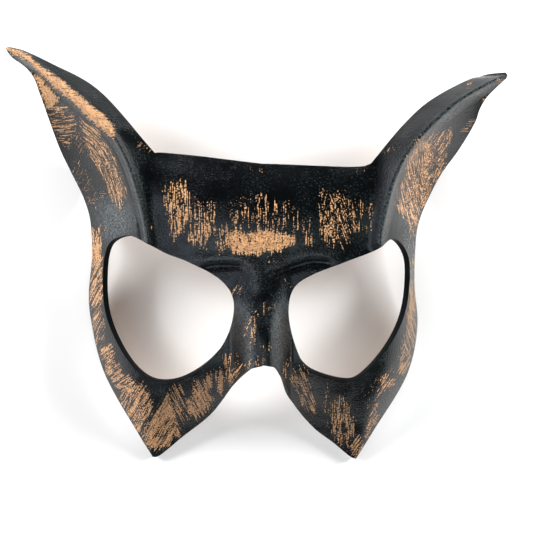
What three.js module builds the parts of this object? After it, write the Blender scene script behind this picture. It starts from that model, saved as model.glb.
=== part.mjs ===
// A half mask of a cat, moulded from one piece of thick leather: a forehead between two tall ears
// that flare outwards, eye holes, a nose bridge and two pointed cheeks. It lies face up.
// Millimetres. +X is to the right of someone who looks at the face, +Y is towards the ears and
// +Z is out of the face. The origin is under the middle of the mask, on the surface that it lies on.

import * as THREE from "three";

// Driving dimensions

const LEATHER = 3; // thickness of the leather
const TIP = { share: 0.5, length: 36 }; // the ears are pared to this share of it towards their tips
const MIDLINE = { x: -1.9, lean: -0.012 }; // the middle of the face leans a little to the left

// Height of the face along its middle, without the nose: [y, z], from below the nose to the ears.
const CROWN = [
  [-110, -8], [-92, -1], [-78, 10], [-66, 23], [-54, 35], [-40, 40], [-18, 43.5], [2, 46.5],
  [14, 50], [26, 51], [40, 48], [54, 42], [70, 34],
];

// The nose is an arch: its height above the face along it, [y, height]. It is flat on top, falls
// with a power of the distance from the midline, and its foot is rounded over a share of its height.
const NOSE = {
  height: [
    [-62, 23], [-50, 22], [-33, 19], [-24, 13], [-16, 7], [-7, 4.5], [1, 3], [9, 1.5], [16, 0],
  ],
  flat: 2,
  power: 1.7,
  foot: 0.35,
};

// From the middle the face falls away sideways, and beside the forehead it climbs again to the
// fold of the ear over a valley: [y, depth], and how far from the fold that lies, [y, distance].
const VALLEY_DEPTH = [[-110, 0], [-40, 0], [0, 2], [14, 4.5], [34, 4.5], [48, 7], [62, 10.5]];
const VALLEY_REACH = [[-110, 6], [14, 6], [34, 7], [48, 10], [62, 14]];
const DOME = { fall: 2, climb: 1.7, overshoot: 1.5 };

// Above the forehead the inner side of the ear drops beside the fold, then curves away from it.
// It starts and is full at these heights, and fades into the forehead this far from the fold.
const FLAP = {
  drop: [[46, 3.5], [80, 3], [100, 2], [116, 1]],
  curve: [[46, 9], [62, 11], [95, 13], [116, 13]],
  dropReach: 3,
  curveReach: 14,
  starts: 46,
  full: 66,
  fadesFrom: 17,
  fadesTo: 39,
};

// How round the fold is, [y, blend height]: soft over the cheeks, tight on the ears.
const FOLD_SOFTNESS = [
  [-110, 2], [-96, 5], [-70, 9], [0, 7], [14, 4.5], [60, 4.5], [95, 4], [116, 2],
];

// How the sheet outside the fold bends, [y, bend]: above 0 it is a scoop, below 0 it bulges.
const SIDE_BEND = [
  [-110, 0], [-80, -0.25], [-50, -0.5], [0, -0.45], [16, -0.1], [34, 0.25], [60, 0.45], [80, 0.7],
  [116, 0.6],
];
const NARROWEST_SIDE = 0.8; // the sheet is taken to be this wide where the fold meets its edge

// A rolled bead runs along the fold of each ear, with a groove on its outer side. It rises above
// the eye hole and gets lower towards the tip.
const BEAD = { height: 2.2, halfWidth: 1.9, starts: 7, full: 13, thinsFrom: 95, thinsTo: 116, atTip: 0.4 };
const GROOVE = { depth: 1.3, halfWidth: 1.1, offset: 3.2 };

// A roll over each eye runs into the side of the nose, and a crease is pressed in under it. Each has
// a line on the face that it rises or sinks along, and fades out over this share of the line's ends.
const BROW_FADE = 0.2;
const BROWS = [
  {
    height: 1.3,
    halfWidth: 3.2,
    line: [
      [-43, 5.6], [-34.3, 3.6], [-26, 3.4], [-17.8, 3.4], [-11.6, 2.6], [-7.2, 0.3], [-5.2, -3.4],
      [-4.9, -12.1], [-5, -18],
    ],
  },
  {
    height: -2.2,
    halfWidth: 1.7,
    line: [
      [-35, -2.6], [-32.6, -1.7], [-29.7, -0.4], [-26, 0.2], [-19.9, 0.3], [-13.3, -0.1], [-9.6, -1.8],
    ],
  },
  {
    height: 1.1,
    halfWidth: 3.4,
    line: [[37, 4.4], [27.6, 5.7], [21.4, 5.4], [15.7, 4.4], [9.5, 2.3], [3.9, -0.6], [1.5, -6]],
  },
  {
    height: -2.4,
    halfWidth: 1.9,
    line: [
      [36.5, 0.4], [33.7, 1.1], [30.7, 1.8], [26.6, 2.2], [22.4, 2], [17.8, 0.9], [12.1, -0.9],
      [6.5, -2.8], [2.3, -5.2], [0, -8.5],
    ],
  },
];

// The face inside follows the outer one less closely: its folds are rounder by this blend height,
// and its slope is taken over this distance to either side.
const INSIDE = { softer: 3, slopeReach: 6.5 };

// The two halves were shaped by hand and differ, so each has its own lines. All go from the ear
// down: [x, y, z] of the outer edge, and of the fold that parts the front from the side.
// Between the brow and the cheek the fold runs through the air of the eye hole. The eye hole starts
// where the fold meets it and goes by the brow, the nose and the cheek. The nose is this wide on
// either side of the midline.
const LEFT = {
  side: -1,
  valley: 0.9,
  noseWidth: 16.5,
  outerEdge: [
    [-136, 113.6, 33], [-134, 110.4, 32], [-126, 104, 31.5], [-122.5, 99, 30], [-120, 91, 26],
    [-113, 63, 2], [-107.5, 51, -1.5], [-101.5, 39, -0.8], [-97, 27, 4], [-95.3, 16.5, 8],
    [-95, 6, 7.5], [-97.5, -15, 2], [-97, -26, 1], [-89.5, -57, 2.5], [-70, -92.5, 2], [-62.7, -105, 0],
  ],
  fold: [
    [-136.2, 114.5, 34], [-124, 107, 38], [-86, 74, 47], [-77.5, 65, 48], [-69, 47, 47.5],
    [-61.5, 12, 42], [-63.5, -2, 41], [-66, -17.5, 39], [-66, -38.5, 35.5], [-61.5, -66, 27],
    [-62, -89, 11], [-62.5, -105, 0.5],
  ],
  earInnerEdge: [[-135, 115], [-130, 114.3], [-111.6, 106], [-89.5, 94], [-58, 59.3]],
  foreheadEdge: [[-58, 59.3], [-55, 59.6], [-2.2, 53.4]],
  cheekInnerEdge: [[-1, -50], [-9.7, -53.2], [-29.8, -79.9], [-46, -93.5], [-60, -104.8], [-62.7, -105]],
  eye: [
    [-61.5, 11.6], [-51.5, 6.5], [-41, 2.5], [-23.5, -7.2], [-17.3, -16.5], [-18.5, -31], [-27.5, -47.2],
    [-44.5, -59.5], [-58.5, -60.5], [-69.5, -54], [-83, -33.5], [-87.3, -18], [-86.3, 7],
    [-82.5, 13.5], [-72.3, 16.2],
  ],
};

const RIGHT = {
  side: 1,
  valley: 1.15,
  noseWidth: 13.5,
  outerEdge: [
    [125.7, 98.6, 32], [120.2, 93.3, 31], [116, 88.7, 29], [113.2, 83.2, 25.5], [112, 77.6, 20],
    [105, 63, 3.5], [97, 51.5, -1.8], [90, 38.5, -1.4], [84.5, 27, 4], [81.8, 17.5, 8],
    [81, -8, 4.5], [83, -33.5, 1], [77.5, -58.5, 2.5], [59, -90, 2], [49.4, -106, 0],
  ],
  fold: [
    [126.3, 100.3, 33], [116, 95.3, 37], [96, 82.5, 42.5], [73.3, 59, 47.5], [66.3, 45.5, 47],
    [62, 30.5, 45.5], [58.5, 11.5, 42], [61, -2, 41], [63.5, -17.5, 39], [62, -38.5, 35.5],
    [55.5, -66, 27], [51.5, -89, 11], [49.2, -106, 0.5],
  ],
  earInnerEdge: [[125.1, 101.6], [114.5, 101.3], [86, 87.3], [72, 74.8], [54.3, 53.7]],
  foreheadEdge: [[54.3, 53.7], [50.4, 52.3], [-2.2, 53.4]],
  cheekInnerEdge: [
    [-1, -50], [5.8, -52], [9.2, -57.8], [13.5, -72], [25.6, -88.2], [36.8, -97], [46.8, -105.2],
    [49.4, -106],
  ],
  eye: [
    [58.5, 9.3], [41, 2.3], [23.5, -4.5], [16, -9.2], [12.7, -14.5], [11.8, -27.5], [19.8, -51.5],
    [26.6, -56.6], [42, -60.5], [48.5, -58.5], [67, -38], [75.8, -17.5], [77, 2.5], [73.7, 10],
    [69, 14], [65.5, 14.3],
  ],
};

// The mesh has a ring of spokes from each eye hole to the outline, and an ear on the ring. The
// ear's base goes from the notch by the forehead over the fold to the waist behind the eye.
const BASE = { foldY: 47, waistY: 12, insideFold: 2.6, outsideFold: 3.2 };
const RING_ROWS = 11;
const EAR_ROWS = 17;
const BOWED_SPOKES = 5; // this many spokes to either side of the fold bow with it

// The spokes, from the fold round by the brow: [share of the eye hole's rim, part of the outline,
// from where to where on that part, spokes]. The base runs from -2 at the waist over 0 at the fold
// to 2 at the notch, and the other parts run from 0 to 1.
const SPOKES = [
  [0.01, "base", 0, 1, 1],
  [0.04, "base", 1, 2, 4],
  [0.155, "forehead", 0, 1, 8],
  [0.227, "midline", 0, 0.53, 9],
  [0.338, "midline", 0.53, 1, 9],
  [0.42, "cheek", 0, 0.19, 4],
  [0.526, "cheek", 0.19, 1, 9],
  [0.7, "temple", 0, 0.54, 9],
  [0.81, "temple", 0.54, 0.8, 4],
  [0.895, "temple", 0.8, 1, 4],
  [0.988, "base", -2, -1, 6],
  [1, "base", -1, 0, 1],
];

const { clamp, lerp } = THREE.MathUtils;
const smooth = (from, to, value) => THREE.MathUtils.smoothstep(value, from, to);
const bell = (distance, halfWidth) => Math.exp(-((distance / halfWidth) ** 2));

// A smooth curve through a list of points, sampled densely, with its running length in plan.
function trace(points, closed = false) {
  const vectors = points.map(([x, y, z = 0]) => new THREE.Vector3(x, y, z));
  const curve = new THREE.CatmullRomCurve3(vectors, closed, "centripetal");
  const samplesPerPoint = 40;
  const samples = curve.getPoints(points.length * samplesPerPoint);
  const lengths = [0];
  for (let i = 1; i < samples.length; i += 1) {
    const step = Math.hypot(samples[i].x - samples[i - 1].x, samples[i].y - samples[i - 1].y);
    lengths.push(lengths[i - 1] + step);
  }
  return { samples, lengths, total: lengths.at(-1) };
}

// The point of a traced curve at a running length.
function pointAt(path, length) {
  const { samples, lengths } = path;
  let i = 1;
  while (i < samples.length - 1 && lengths[i] < length) i += 1;
  const span = lengths[i] - lengths[i - 1];
  const t = span > 0 ? clamp((length - lengths[i - 1]) / span, 0, 1) : 0;
  return samples[i - 1].clone().lerp(samples[i], t);
}

// Where a line that runs down the mask passes a height y: x, z and the running length there.
function lineAt(path, y) {
  const { samples, lengths } = path;
  let i = 1;
  while (i < samples.length - 1 && samples[i].y > y) i += 1;
  const a = samples[i - 1];
  const b = samples[i];
  const t = clamp((y - a.y) / (b.y - a.y || 1), 0, 1);
  return { x: lerp(a.x, b.x, t), z: lerp(a.z, b.z, t), length: lerp(lengths[i - 1], lengths[i], t) };
}

// The value at y of a smooth curve through [y, value] pairs with rising y.
function profile(pairs, y) {
  const last = pairs.length - 1;
  if (y <= pairs[0][0]) return pairs[0][1];
  if (y >= pairs[last][0]) return pairs[last][1];
  let i = 0;
  while (pairs[i + 1][0] < y) i += 1;
  const slope = (k) => {
    const a = pairs[Math.max(0, k - 1)];
    const b = pairs[Math.min(last, k + 1)];
    return (b[1] - a[1]) / (b[0] - a[0]);
  };
  const [y0, v0] = pairs[i];
  const [y1, v1] = pairs[i + 1];
  const h = y1 - y0;
  const t = (y - y0) / h;
  const t2 = t * t;
  const t3 = t2 * t;
  const ends = v0 * (2 * t3 - 3 * t2 + 1) + v1 * (3 * t2 - 2 * t3);
  return ends + h * (slope(i) * (t3 - 2 * t2 + t) + slope(i + 1) * (t3 - t2));
}

// The lower of two sheets, with the crease between them rounded over a blend height.
function roundedMinimum(a, b, blend) {
  const h = clamp(0.5 + (0.5 * (b - a)) / blend, 0, 1);
  return lerp(b, a, h) - blend * h * (1 - h);
}

for (const half of [LEFT, RIGHT]) {
  half.edgePath = trace(half.outerEdge);
  half.foldPath = trace(half.fold);
}
for (const brow of BROWS) brow.path = trace(brow.line);

const midlineX = (y) => MIDLINE.x + MIDLINE.lean * y;
const halfAt = (x, y) => (x < midlineX(y) ? LEFT : RIGHT);

// How far the nose stands above the face at a distance u from the midline.
function noseHeight(half, u, y) {
  const rise = Math.max(0.01, profile(NOSE.height, y));
  const part = (Math.hypot(u, NOSE.flat) - NOSE.flat) / (half.noseWidth - NOSE.flat);
  return -roundedMinimum(-rise * (1 - part ** NOSE.power), 0, NOSE.foot * rise);
}

// The rolls and creases over the eyes, by the distance to the nearest point of each line.
function browHeight(x, y) {
  let z = 0;
  for (const { height: rise, halfWidth, path } of BROWS) {
    const gaps = path.samples.map((sample) => Math.hypot(x - sample.x, y - sample.y));
    const gap = Math.min(...gaps);
    const share = path.lengths[gaps.indexOf(gap)] / path.total;
    const span = smooth(0, BROW_FADE, share) * (1 - smooth(1 - BROW_FADE, 1, share));
    z += rise * bell(gap, halfWidth) * span;
  }
  return z;
}

// Height of the leather's outer face over a point. detail is 1 for the outer face and 0 for the
// face inside, which the bead and the groove don't reach.
function height(x, y, detail) {
  const half = halfAt(x, y);
  const fold = lineAt(half.foldPath, y);
  const edge = lineAt(half.edgePath, y);
  const foldRun = lineAt(half.foldPath, y + 1).x - lineAt(half.foldPath, y - 1).x;
  const outward = (x - fold.x) * half.side;
  const distance = outward * (2 / Math.hypot(2, foldRun));
  const u = Math.abs(x - midlineX(y));

  // The forehead and cheeks are a shallow dome from the middle to the valley beside the fold.
  const depth = profile(VALLEY_DEPTH, y) * half.valley;
  const crown = profile(CROWN, y);
  const across = u / Math.abs(fold.x - midlineX(y));
  const climb = clamp(1 + distance / profile(VALLEY_REACH, y), 0, DOME.overshoot);
  const dome = crown + (fold.z - depth - crown) * across ** DOME.fall + depth * climb ** DOME.climb;

  // The inner side of the ear takes over from the forehead above the notch.
  const inward = Math.max(0, -distance);
  const drop = profile(FLAP.drop, y) * (1 - Math.exp(-inward / FLAP.dropReach));
  const curve = profile(FLAP.curve, y) * (1 - bell(inward, FLAP.curveReach));
  const flap = fold.z - drop - curve + Math.max(0, distance);
  const nearFold = 1 - smooth(FLAP.fadesFrom, FLAP.fadesTo, inward);
  const front = lerp(dome, flap, smooth(FLAP.starts, FLAP.full, y) * nearFold);

  // The side falls from the fold to the outer edge.
  const part = outward / Math.max(NARROWEST_SIDE, Math.abs(edge.x - fold.x));
  const bend = profile(SIDE_BEND, y);
  const fall = part > 0 ? part + bend * part * (1 - part) : (1 + bend) * part;
  const side = lerp(fold.z, edge.z, fall);

  let z = roundedMinimum(front, side, profile(FOLD_SOFTNESS, y) + INSIDE.softer * (1 - detail));

  const thinned = lerp(1, BEAD.atTip, smooth(BEAD.thinsFrom, BEAD.thinsTo, y));
  const onEar = smooth(BEAD.starts, BEAD.full, y) * thinned * detail;
  z += onEar * BEAD.height * bell(distance, BEAD.halfWidth);
  z -= onEar * GROOVE.depth * bell(distance - GROOVE.offset, GROOVE.halfWidth);
  return z + noseHeight(half, u, y) + browHeight(x, y);
}

// A point on the outer face, and the point a leather's thickness below it. The slope is taken
// over a few millimetres, so that the inner face turns more gently at a fold than the outer one.
function wallAt(x, y) {
  const [tipX, tipY] = halfAt(x, y).fold[0];
  const pared = smooth(0, TIP.length, Math.hypot(x - tipX, y - tipY));
  const thickness = LEATHER * lerp(TIP.share, 1, pared);
  const reach = INSIDE.slopeReach;
  const slopeX = (height(x + reach, y, 0) - height(x - reach, y, 0)) / (2 * reach);
  const slopeY = (height(x, y + reach, 0) - height(x, y - reach, 0)) / (2 * reach);
  const normal = new THREE.Vector3(-slopeX, -slopeY, 1).normalize();
  const outer = new THREE.Vector3(x, y, height(x, y, 1));
  const inner = new THREE.Vector3(x, y, height(x, y, 0)).addScaledVector(normal, -thickness);
  return { outer, inner };
}

// The plan of one half: a ring of spokes from the eye hole to the outline, and the ear above it.
function planOfHalf(half) {
  const eye = trace(half.eye, true);
  const earInner = trace([...half.earInnerEdge].reverse());
  const forehead = trace(half.foreheadEdge);
  const cheek = trace(half.cheekInnerEdge);
  const edge = half.edgePath;
  const fold = half.foldPath;

  const waistLength = lineAt(edge, BASE.waistY).length;
  const baseLength = lineAt(fold, BASE.foldY).length;
  const notch = pointAt(earInner, 0);
  const foldPoint = pointAt(fold, baseLength);
  const waist = pointAt(edge, waistLength);
  const beside = (target, gap) => foldPoint.clone().lerp(target, gap / foldPoint.distanceTo(target));
  const base = [waist, beside(waist, BASE.outsideFold), foldPoint, beside(notch, BASE.insideFold), notch];
  const midlineTop = half.foreheadEdge.at(-1)[1];
  const midlineFoot = half.cheekInnerEdge[0][1];

  const outline = {
    base: (place) => {
      const i = clamp(Math.floor(place + 2), 0, base.length - 2);
      return base[i].clone().lerp(base[i + 1], place + 2 - i);
    },
    forehead: (share) => pointAt(forehead, share * forehead.total),
    midline: (share) => {
      const y = lerp(midlineTop, midlineFoot, share);
      return new THREE.Vector3(midlineX(y), y, 0);
    },
    cheek: (share) => pointAt(cheek, share * cheek.total),
    temple: (share) => pointAt(edge, lerp(edge.total, waistLength, share)),
  };

  const spokes = [];
  let rimFrom = 0;
  for (const [rimTo, part, from, to, count] of SPOKES) {
    for (let i = 1; i <= count; i += 1) {
      const place = lerp(from, to, i / count);
      const root = pointAt(eye, lerp(rimFrom, rimTo, i / count) * eye.total);
      spokes.push({ part, place, root, tip: outline[part](place) });
    }
    rimFrom = rimTo;
  }

  // The last spoke lies on the fold, and bows with it as its neighbours do.
  const last = spokes.length - 1;
  const onFold = spokes[last];
  const ring = spokes.map(({ root, tip }, i) => {
    const bow = Math.max(0, 1 - Math.min(i + 1, last - i) / BOWED_SPOKES);
    const row = [];
    for (let j = 0; j <= RING_ROWS; j += 1) {
      const t = j / RING_ROWS;
      const point = root.clone().lerp(tip, t);
      const chord = onFold.root.clone().lerp(onFold.tip, t);
      const onRim = j === 0 || j === RING_ROWS;
      row.push([point.x + (onRim ? 0 : bow * (lineAt(fold, chord.y).x - chord.x)), point.y]);
    }
    return row;
  });

  // The ear's columns follow on from the spokes that end on its base, from the waist to the notch.
  const baseSpokes = spokes.filter((spoke) => spoke.part === "base");
  const columns = [{ tip: waist, place: -2 }, ...baseSpokes].sort((a, b) => a.place - b.place);
  const ear = columns.map(({ tip, place }) => {
    const outer = place <= 0;
    const rim = outer ? waist : notch;
    const share = tip.distanceTo(foldPoint) / rim.distanceTo(foldPoint);
    const column = [[tip.x, tip.y]];
    for (let j = 1; j <= EAR_ROWS; j += 1) {
      const t = j / EAR_ROWS;
      const point = pointAt(fold, lerp(baseLength, 0, t));
      const onEdge = pointAt(edge, lerp(waistLength, 0, t));
      const onInner = pointAt(earInner, t * earInner.total);
      point.lerp(outer ? onEdge : onInner, share);
      column.push([point.x, point.y]);
    }
    return column;
  });
  return { ring, ear };
}

// The triangles of the outer face. Points of two grids that meet are one vertex.
function outerFace(halves) {
  const vertices = [];
  const numbers = new Map();
  const faces = [];
  const number = ([x, y]) => {
    const key = `${x.toFixed(4)},${y.toFixed(4)}`;
    if (!numbers.has(key)) {
      numbers.set(key, vertices.length);
      vertices.push(wallAt(x, y));
    }
    return numbers.get(key);
  };
  const addTriangle = (a, b, c) => {
    if (a === b || b === c || c === a) return;
    const [p, q, r] = [a, b, c].map((i) => vertices[i].outer);
    const turn = (q.x - p.x) * (r.y - p.y) - (q.y - p.y) * (r.x - p.x);
    faces.push(turn > 0 ? [a, b, c] : [a, c, b]);
  };
  const diagonal = (a, b) => vertices[a].outer.distanceTo(vertices[b].outer);
  const addGrid = (lines, closed) => {
    const count = closed ? lines.length : lines.length - 1;
    for (let i = 0; i < count; i += 1) {
      const one = lines[i].map(number);
      const two = lines[(i + 1) % lines.length].map(number);
      for (let j = 0; j + 1 < one.length; j += 1) {
        const [a, b, c, d] = [one[j], one[j + 1], two[j + 1], two[j]];
        const split = diagonal(a, c) < diagonal(b, d) ? [[a, b, c], [a, c, d]] : [[a, b, d], [b, c, d]];
        for (const triangle of split) addTriangle(...triangle);
      }
    }
  };
  for (const { ring, ear } of halves) {
    addGrid(ring, true);
    addGrid(ear, false);
  }
  return { vertices, faces };
}

// A closed body of the outer face, the face inside it, and a wall along every open edge.
function closedShell({ vertices, faces }) {
  const edges = new Map();
  for (const [a, b, c] of faces) {
    for (const [from, to] of [[a, b], [b, c], [c, a]]) edges.set(`${from},${to}`, [from, to]);
  }
  const count = vertices.length;
  const index = [];
  for (const [a, b, c] of faces) index.push(a, b, c, count + a, count + c, count + b);
  for (const [from, to] of edges.values()) {
    if (!edges.has(`${to},${from}`)) index.push(to, from, count + from, to, count + from, count + to);
  }
  const positions = [];
  for (const face of ["outer", "inner"]) {
    for (const vertex of vertices) positions.push(...vertex[face].toArray());
  }
  const geometry = new THREE.BufferGeometry();
  geometry.setAttribute("position", new THREE.Float32BufferAttribute(positions, 3));
  geometry.setIndex(index);
  return geometry;
}

function makeMask() {
  const geometry = closedShell(outerFace([LEFT, RIGHT].map(planOfHalf)));
  geometry.computeBoundingBox();
  const { min, max } = geometry.boundingBox;
  geometry.translate(-(min.x + max.x) / 2, -(min.y + max.y) / 2, -min.z);
  geometry.computeVertexNormals();
  const leather = new THREE.MeshStandardMaterial({ color: 0x23272a, roughness: 0.5, metalness: 0 });
  const mask = new THREE.Mesh(geometry, leather);
  mask.name = "cat_mask";
  return mask;
}

const model = new THREE.Group();
model.add(makeMask());

export default model;
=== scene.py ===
"""A cat half mask of moulded leather, in black with dry-brushed orange, lying face up on a pale floor.

The mask is one sheet. Its face is a height over the plan, worked out from the lines of its folds and edges.
The face inside lies a leather's thickness below, and a rounded cut edge joins the two. Shape data is in
millimetres and in the plan that the lines were drawn in; the meshes are in metres, in the frame of the
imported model, +Z up.
"""

import math

import bpy
import numpy as np
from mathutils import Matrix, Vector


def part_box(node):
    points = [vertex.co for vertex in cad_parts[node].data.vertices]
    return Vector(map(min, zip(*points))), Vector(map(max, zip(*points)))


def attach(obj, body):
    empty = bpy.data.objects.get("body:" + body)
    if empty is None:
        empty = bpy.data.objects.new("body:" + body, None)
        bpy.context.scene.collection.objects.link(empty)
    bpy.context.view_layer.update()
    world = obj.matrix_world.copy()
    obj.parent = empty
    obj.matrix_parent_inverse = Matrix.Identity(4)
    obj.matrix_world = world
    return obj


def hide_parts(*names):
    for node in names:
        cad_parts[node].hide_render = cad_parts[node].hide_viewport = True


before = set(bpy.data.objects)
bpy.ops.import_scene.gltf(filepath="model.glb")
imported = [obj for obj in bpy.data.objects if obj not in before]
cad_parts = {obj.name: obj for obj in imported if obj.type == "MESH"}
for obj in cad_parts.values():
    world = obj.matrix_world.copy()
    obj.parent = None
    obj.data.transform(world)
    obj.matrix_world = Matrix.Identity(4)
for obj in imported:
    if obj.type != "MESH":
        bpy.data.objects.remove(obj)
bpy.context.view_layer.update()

bl_info = {
    "name": "Cat half mask",
    "version": (1, 0, 0),
    "blender": (4, 5, 0),
    "location": "3D View > Sidebar > Mask",
    "description": "Makes a dry-brushed leather half mask of a cat and a plain stage for it",
    "category": "Add Mesh",
}

MM = 0.001
NODE = "cat_mask"

# The form of the mask

MIDLINE = {"x": -1.9, "lean": -0.012}
CROWN = [
    (-110, -8), (-92, -1), (-78, 10), (-66, 23), (-54, 35), (-40, 40), (-18, 43.5), (2, 46.5),
    (14, 50), (26, 51), (40, 48), (54, 42), (70, 34),
]
NOSE_HEIGHT = [(-62, 23), (-50, 22), (-33, 19), (-24, 13), (-16, 7), (-7, 4.5), (1, 3), (9, 1.5), (16, 0)]
NOSE_ARCH = {"flat": 2, "power": 1.7, "foot": 0.35, "least": 0.01}
# A painted highlight down each side of the nose: how far out from the middle, its half width, and where in
# y it starts and is full
NOSE_HIGHLIGHT = {"out": 7.2, "half_width": 2.6, "starts": -12, "full": -26}
VALLEY_DEPTH = [(-110, 0), (-40, 0), (0, 2), (14, 4.5), (34, 4.5), (48, 7), (62, 10.5)]
VALLEY_REACH = [(-110, 6), (14, 6), (34, 7), (48, 10), (62, 14)]
DOME = {"fall": 2, "climb": 1.7, "overshoot": 1.5}
FLAP_DROP = [(46, 3.5), (80, 3), (100, 2), (116, 1)]
FLAP_CURVE = [(46, 9), (62, 11), (95, 13), (116, 13)]
FLAP = {"drop_reach": 3, "curve_reach": 14, "starts": 46, "full": 66, "fades_from": 17, "fades_to": 39}
FOLD_SOFTNESS = [(-110, 2), (-96, 5), (-70, 9), (0, 7), (14, 4.5), (60, 4.5), (95, 4), (116, 2)]
SIDE_BEND = [
    (-110, 0), (-80, -0.25), (-50, -0.5), (0, -0.45), (16, -0.1), (34, 0.25), (60, 0.45), (80, 0.7),
    (116, 0.6),
]
NARROWEST_SIDE = 0.8
BEAD = {"starts": 7, "full": 13, "thins_from": 95, "thins_to": 116, "at_tip": 0.4}
GROOVE = {"half_width": 1.2, "offset": 1.7}  # the offset is in half widths of the bead
BROW_LINES = [
    # A roll over each eye that runs into the side of the nose, and the crease pressed in under it
    (1.3, 3.2, [
        (-43, 5.6), (-34.3, 3.6), (-26, 3.4), (-17.8, 3.4), (-11.6, 2.6), (-7.2, 0.3), (-5.2, -3.4),
        (-4.9, -12.1), (-5, -18),
    ]),
    (-2.2, 1.7, [
        (-35, -2.6), (-32.6, -1.7), (-29.7, -0.4), (-26, 0.2), (-19.9, 0.3), (-13.3, -0.1), (-9.6, -1.8),
    ]),
    (1.1, 3.4, [(37, 4.4), (27.6, 5.7), (21.4, 5.4), (15.7, 4.4), (9.5, 2.3), (3.9, -0.6), (1.5, -6)]),
    (-2.4, 1.9, [
        (36.5, 0.4), (33.7, 1.1), (30.7, 1.8), (26.6, 2.2), (22.4, 2), (17.8, 0.9), (12.1, -0.9),
        (6.5, -2.8), (2.3, -5.2), (0, -8.5),
    ]),
]
BROW_FADE = 0.2  # the share of each line over which it rises or fades
BROW_STEP = 6  # the distance to a line is that to every sixth of its points
INSIDE = {"softer": 3, "slope_reach": 6.5, "brows": 0.8}
TIP = {"share": 0.5, "length": 36}
# Grey that is partly real worn leather and partly painted highlight: how far beyond the fold it lies on
# each ear's bead, and its share on the rolls of the brows
RUB_AND_HIGHLIGHT = {"beyond_fold": 0.6, "brows": 0.4}

LEFT = {
    "side": -1,
    "valley": 0.9,
    "nose_width": 16.5,
    "bead": 1.9,
    "inner_bead": 1.9,
    "groove": 1.3,
    "outer_edge": [
        (-136, 113.6, 33), (-134, 110.4, 32), (-126, 104, 31.5), (-122.5, 99, 30), (-120, 91, 26),
        (-113, 63, 2), (-107.5, 51, -1.5), (-101.5, 39, -0.8), (-97, 27, 4), (-95.3, 16.5, 8),
        (-95, 6, 7.5), (-97.5, -15, 2), (-97, -26, 1), (-89.5, -57, 2.5), (-70, -92.5, 2), (-62.7, -105, 0),
    ],
    "fold": [
        (-136.2, 114.5, 34), (-124, 107, 38), (-86, 74, 47), (-77.5, 65, 48), (-69, 47, 47.5),
        (-61.5, 12, 42), (-63.5, -2, 41), (-66, -17.5, 39), (-66, -38.5, 35.5), (-61.5, -66, 27),
        (-62, -89, 11), (-62.5, -105, 0.5),
    ],
    "ear_inner_edge": [(-135, 115), (-130, 114.3), (-111.6, 106), (-89.5, 94), (-58, 59.3)],
    "forehead_edge": [(-58, 59.3), (-55, 59.6), (-2.2, 53.4)],
    "cheek_inner_edge": [
        (-1, -50), (-9.7, -53.2), (-29.8, -79.9), (-46, -93.5), (-60, -104.8), (-62.7, -105),
    ],
    "eye": [
        (-61.5, 11.6), (-51.5, 6.5), (-41, 2.5), (-23.5, -7.2), (-17.3, -16.5), (-18.5, -31),
        (-27.5, -47.2), (-44.5, -59.5), (-58.5, -60.5), (-69.5, -54), (-83, -33.5), (-87.3, -18),
        (-86.3, 7), (-82.5, 13.5), (-72.3, 16.2),
    ],
}

RIGHT = {
    "side": 1,
    "valley": 1.15,
    "nose_width": 13.5,
    "bead": 2.7,
    "inner_bead": 8,
    "groove": 0.4,
    "outer_edge": [
        (125.7, 98.6, 32), (120.2, 93.3, 31), (116, 88.7, 29), (113.2, 83.2, 25.5), (112, 77.6, 20),
        (105, 63, 3.5), (97, 51.5, -1.8), (90, 38.5, -1.4), (84.5, 27, 4), (81.8, 17.5, 8),
        (81, -8, 4.5), (83, -33.5, 1), (77.5, -58.5, 2.5), (59, -90, 2), (49.4, -106, 0),
    ],
    "fold": [
        (126.3, 100.3, 33), (116, 95.3, 37), (96, 82.5, 42.5), (73.3, 59, 47.5), (66.3, 45.5, 47),
        (62, 30.5, 45.5), (58.5, 11.5, 42), (61, -2, 41), (63.5, -17.5, 39), (62, -38.5, 35.5),
        (55.5, -66, 27), (51.5, -89, 11), (49.2, -106, 0.5),
    ],
    "ear_inner_edge": [(125.1, 101.6), (114.5, 101.3), (86, 87.3), (72, 74.8), (54.3, 53.7)],
    "forehead_edge": [(54.3, 53.7), (50.4, 52.3), (-2.2, 53.4)],
    "cheek_inner_edge": [
        (-1, -50), (5.8, -52), (9.2, -57.8), (13.5, -72), (25.6, -88.2), (36.8, -97), (46.8, -105.2),
        (49.4, -106),
    ],
    "eye": [
        (58.5, 9.3), (41, 2.3), (23.5, -4.5), (16, -9.2), (12.7, -14.5), (11.8, -27.5), (19.8, -51.5),
        (26.6, -56.6), (42, -60.5), (48.5, -58.5), (67, -38), (75.8, -17.5), (77, 2.5), (73.7, 10),
        (69, 14), (65.5, 14.3),
    ],
}

# The lines of the mesh: up to which share of the eye hole's rim, the part of the outline that faces it,
# from where to where on that, and how many spokes

BASE = {"fold_y": 47, "waist_y": 12, "inside_fold": 5, "outside_fold": 6}
SPOKES = [
    (0.02, "base", 0, 1, 7),
    (0.04, "base", 1, 2, 9),
    (0.155, "forehead", 0, 1, 38),
    (0.227, "midline", 0, 0.53, 38),
    (0.338, "midline", 0.53, 1, 38),
    (0.42, "cheek", 0, 0.19, 12),
    (0.526, "cheek", 0.19, 1, 38),
    (0.7, "temple", 0, 0.54, 42),
    (0.81, "temple", 0.54, 0.8, 19),
    (0.895, "temple", 0.8, 1, 18),
    (0.975, "base", -2, -1, 18),
    (1, "base", -1, 0, 8),
]
BOW_REACH = 0.55  # how far along its base the ear's fold bends the spokes beside it
RING_ROWS = 44
EAR_ROWS = 84
RIM_TURN = (30, 60, 90)  # degrees of the rounded corners of the cut edge
ROUNDED_SHARE = 0.4  # the most of the way to the next line of the mesh that a corner may take up
WELD = 1e-4  # points of the plan that are closer than this are one

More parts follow.
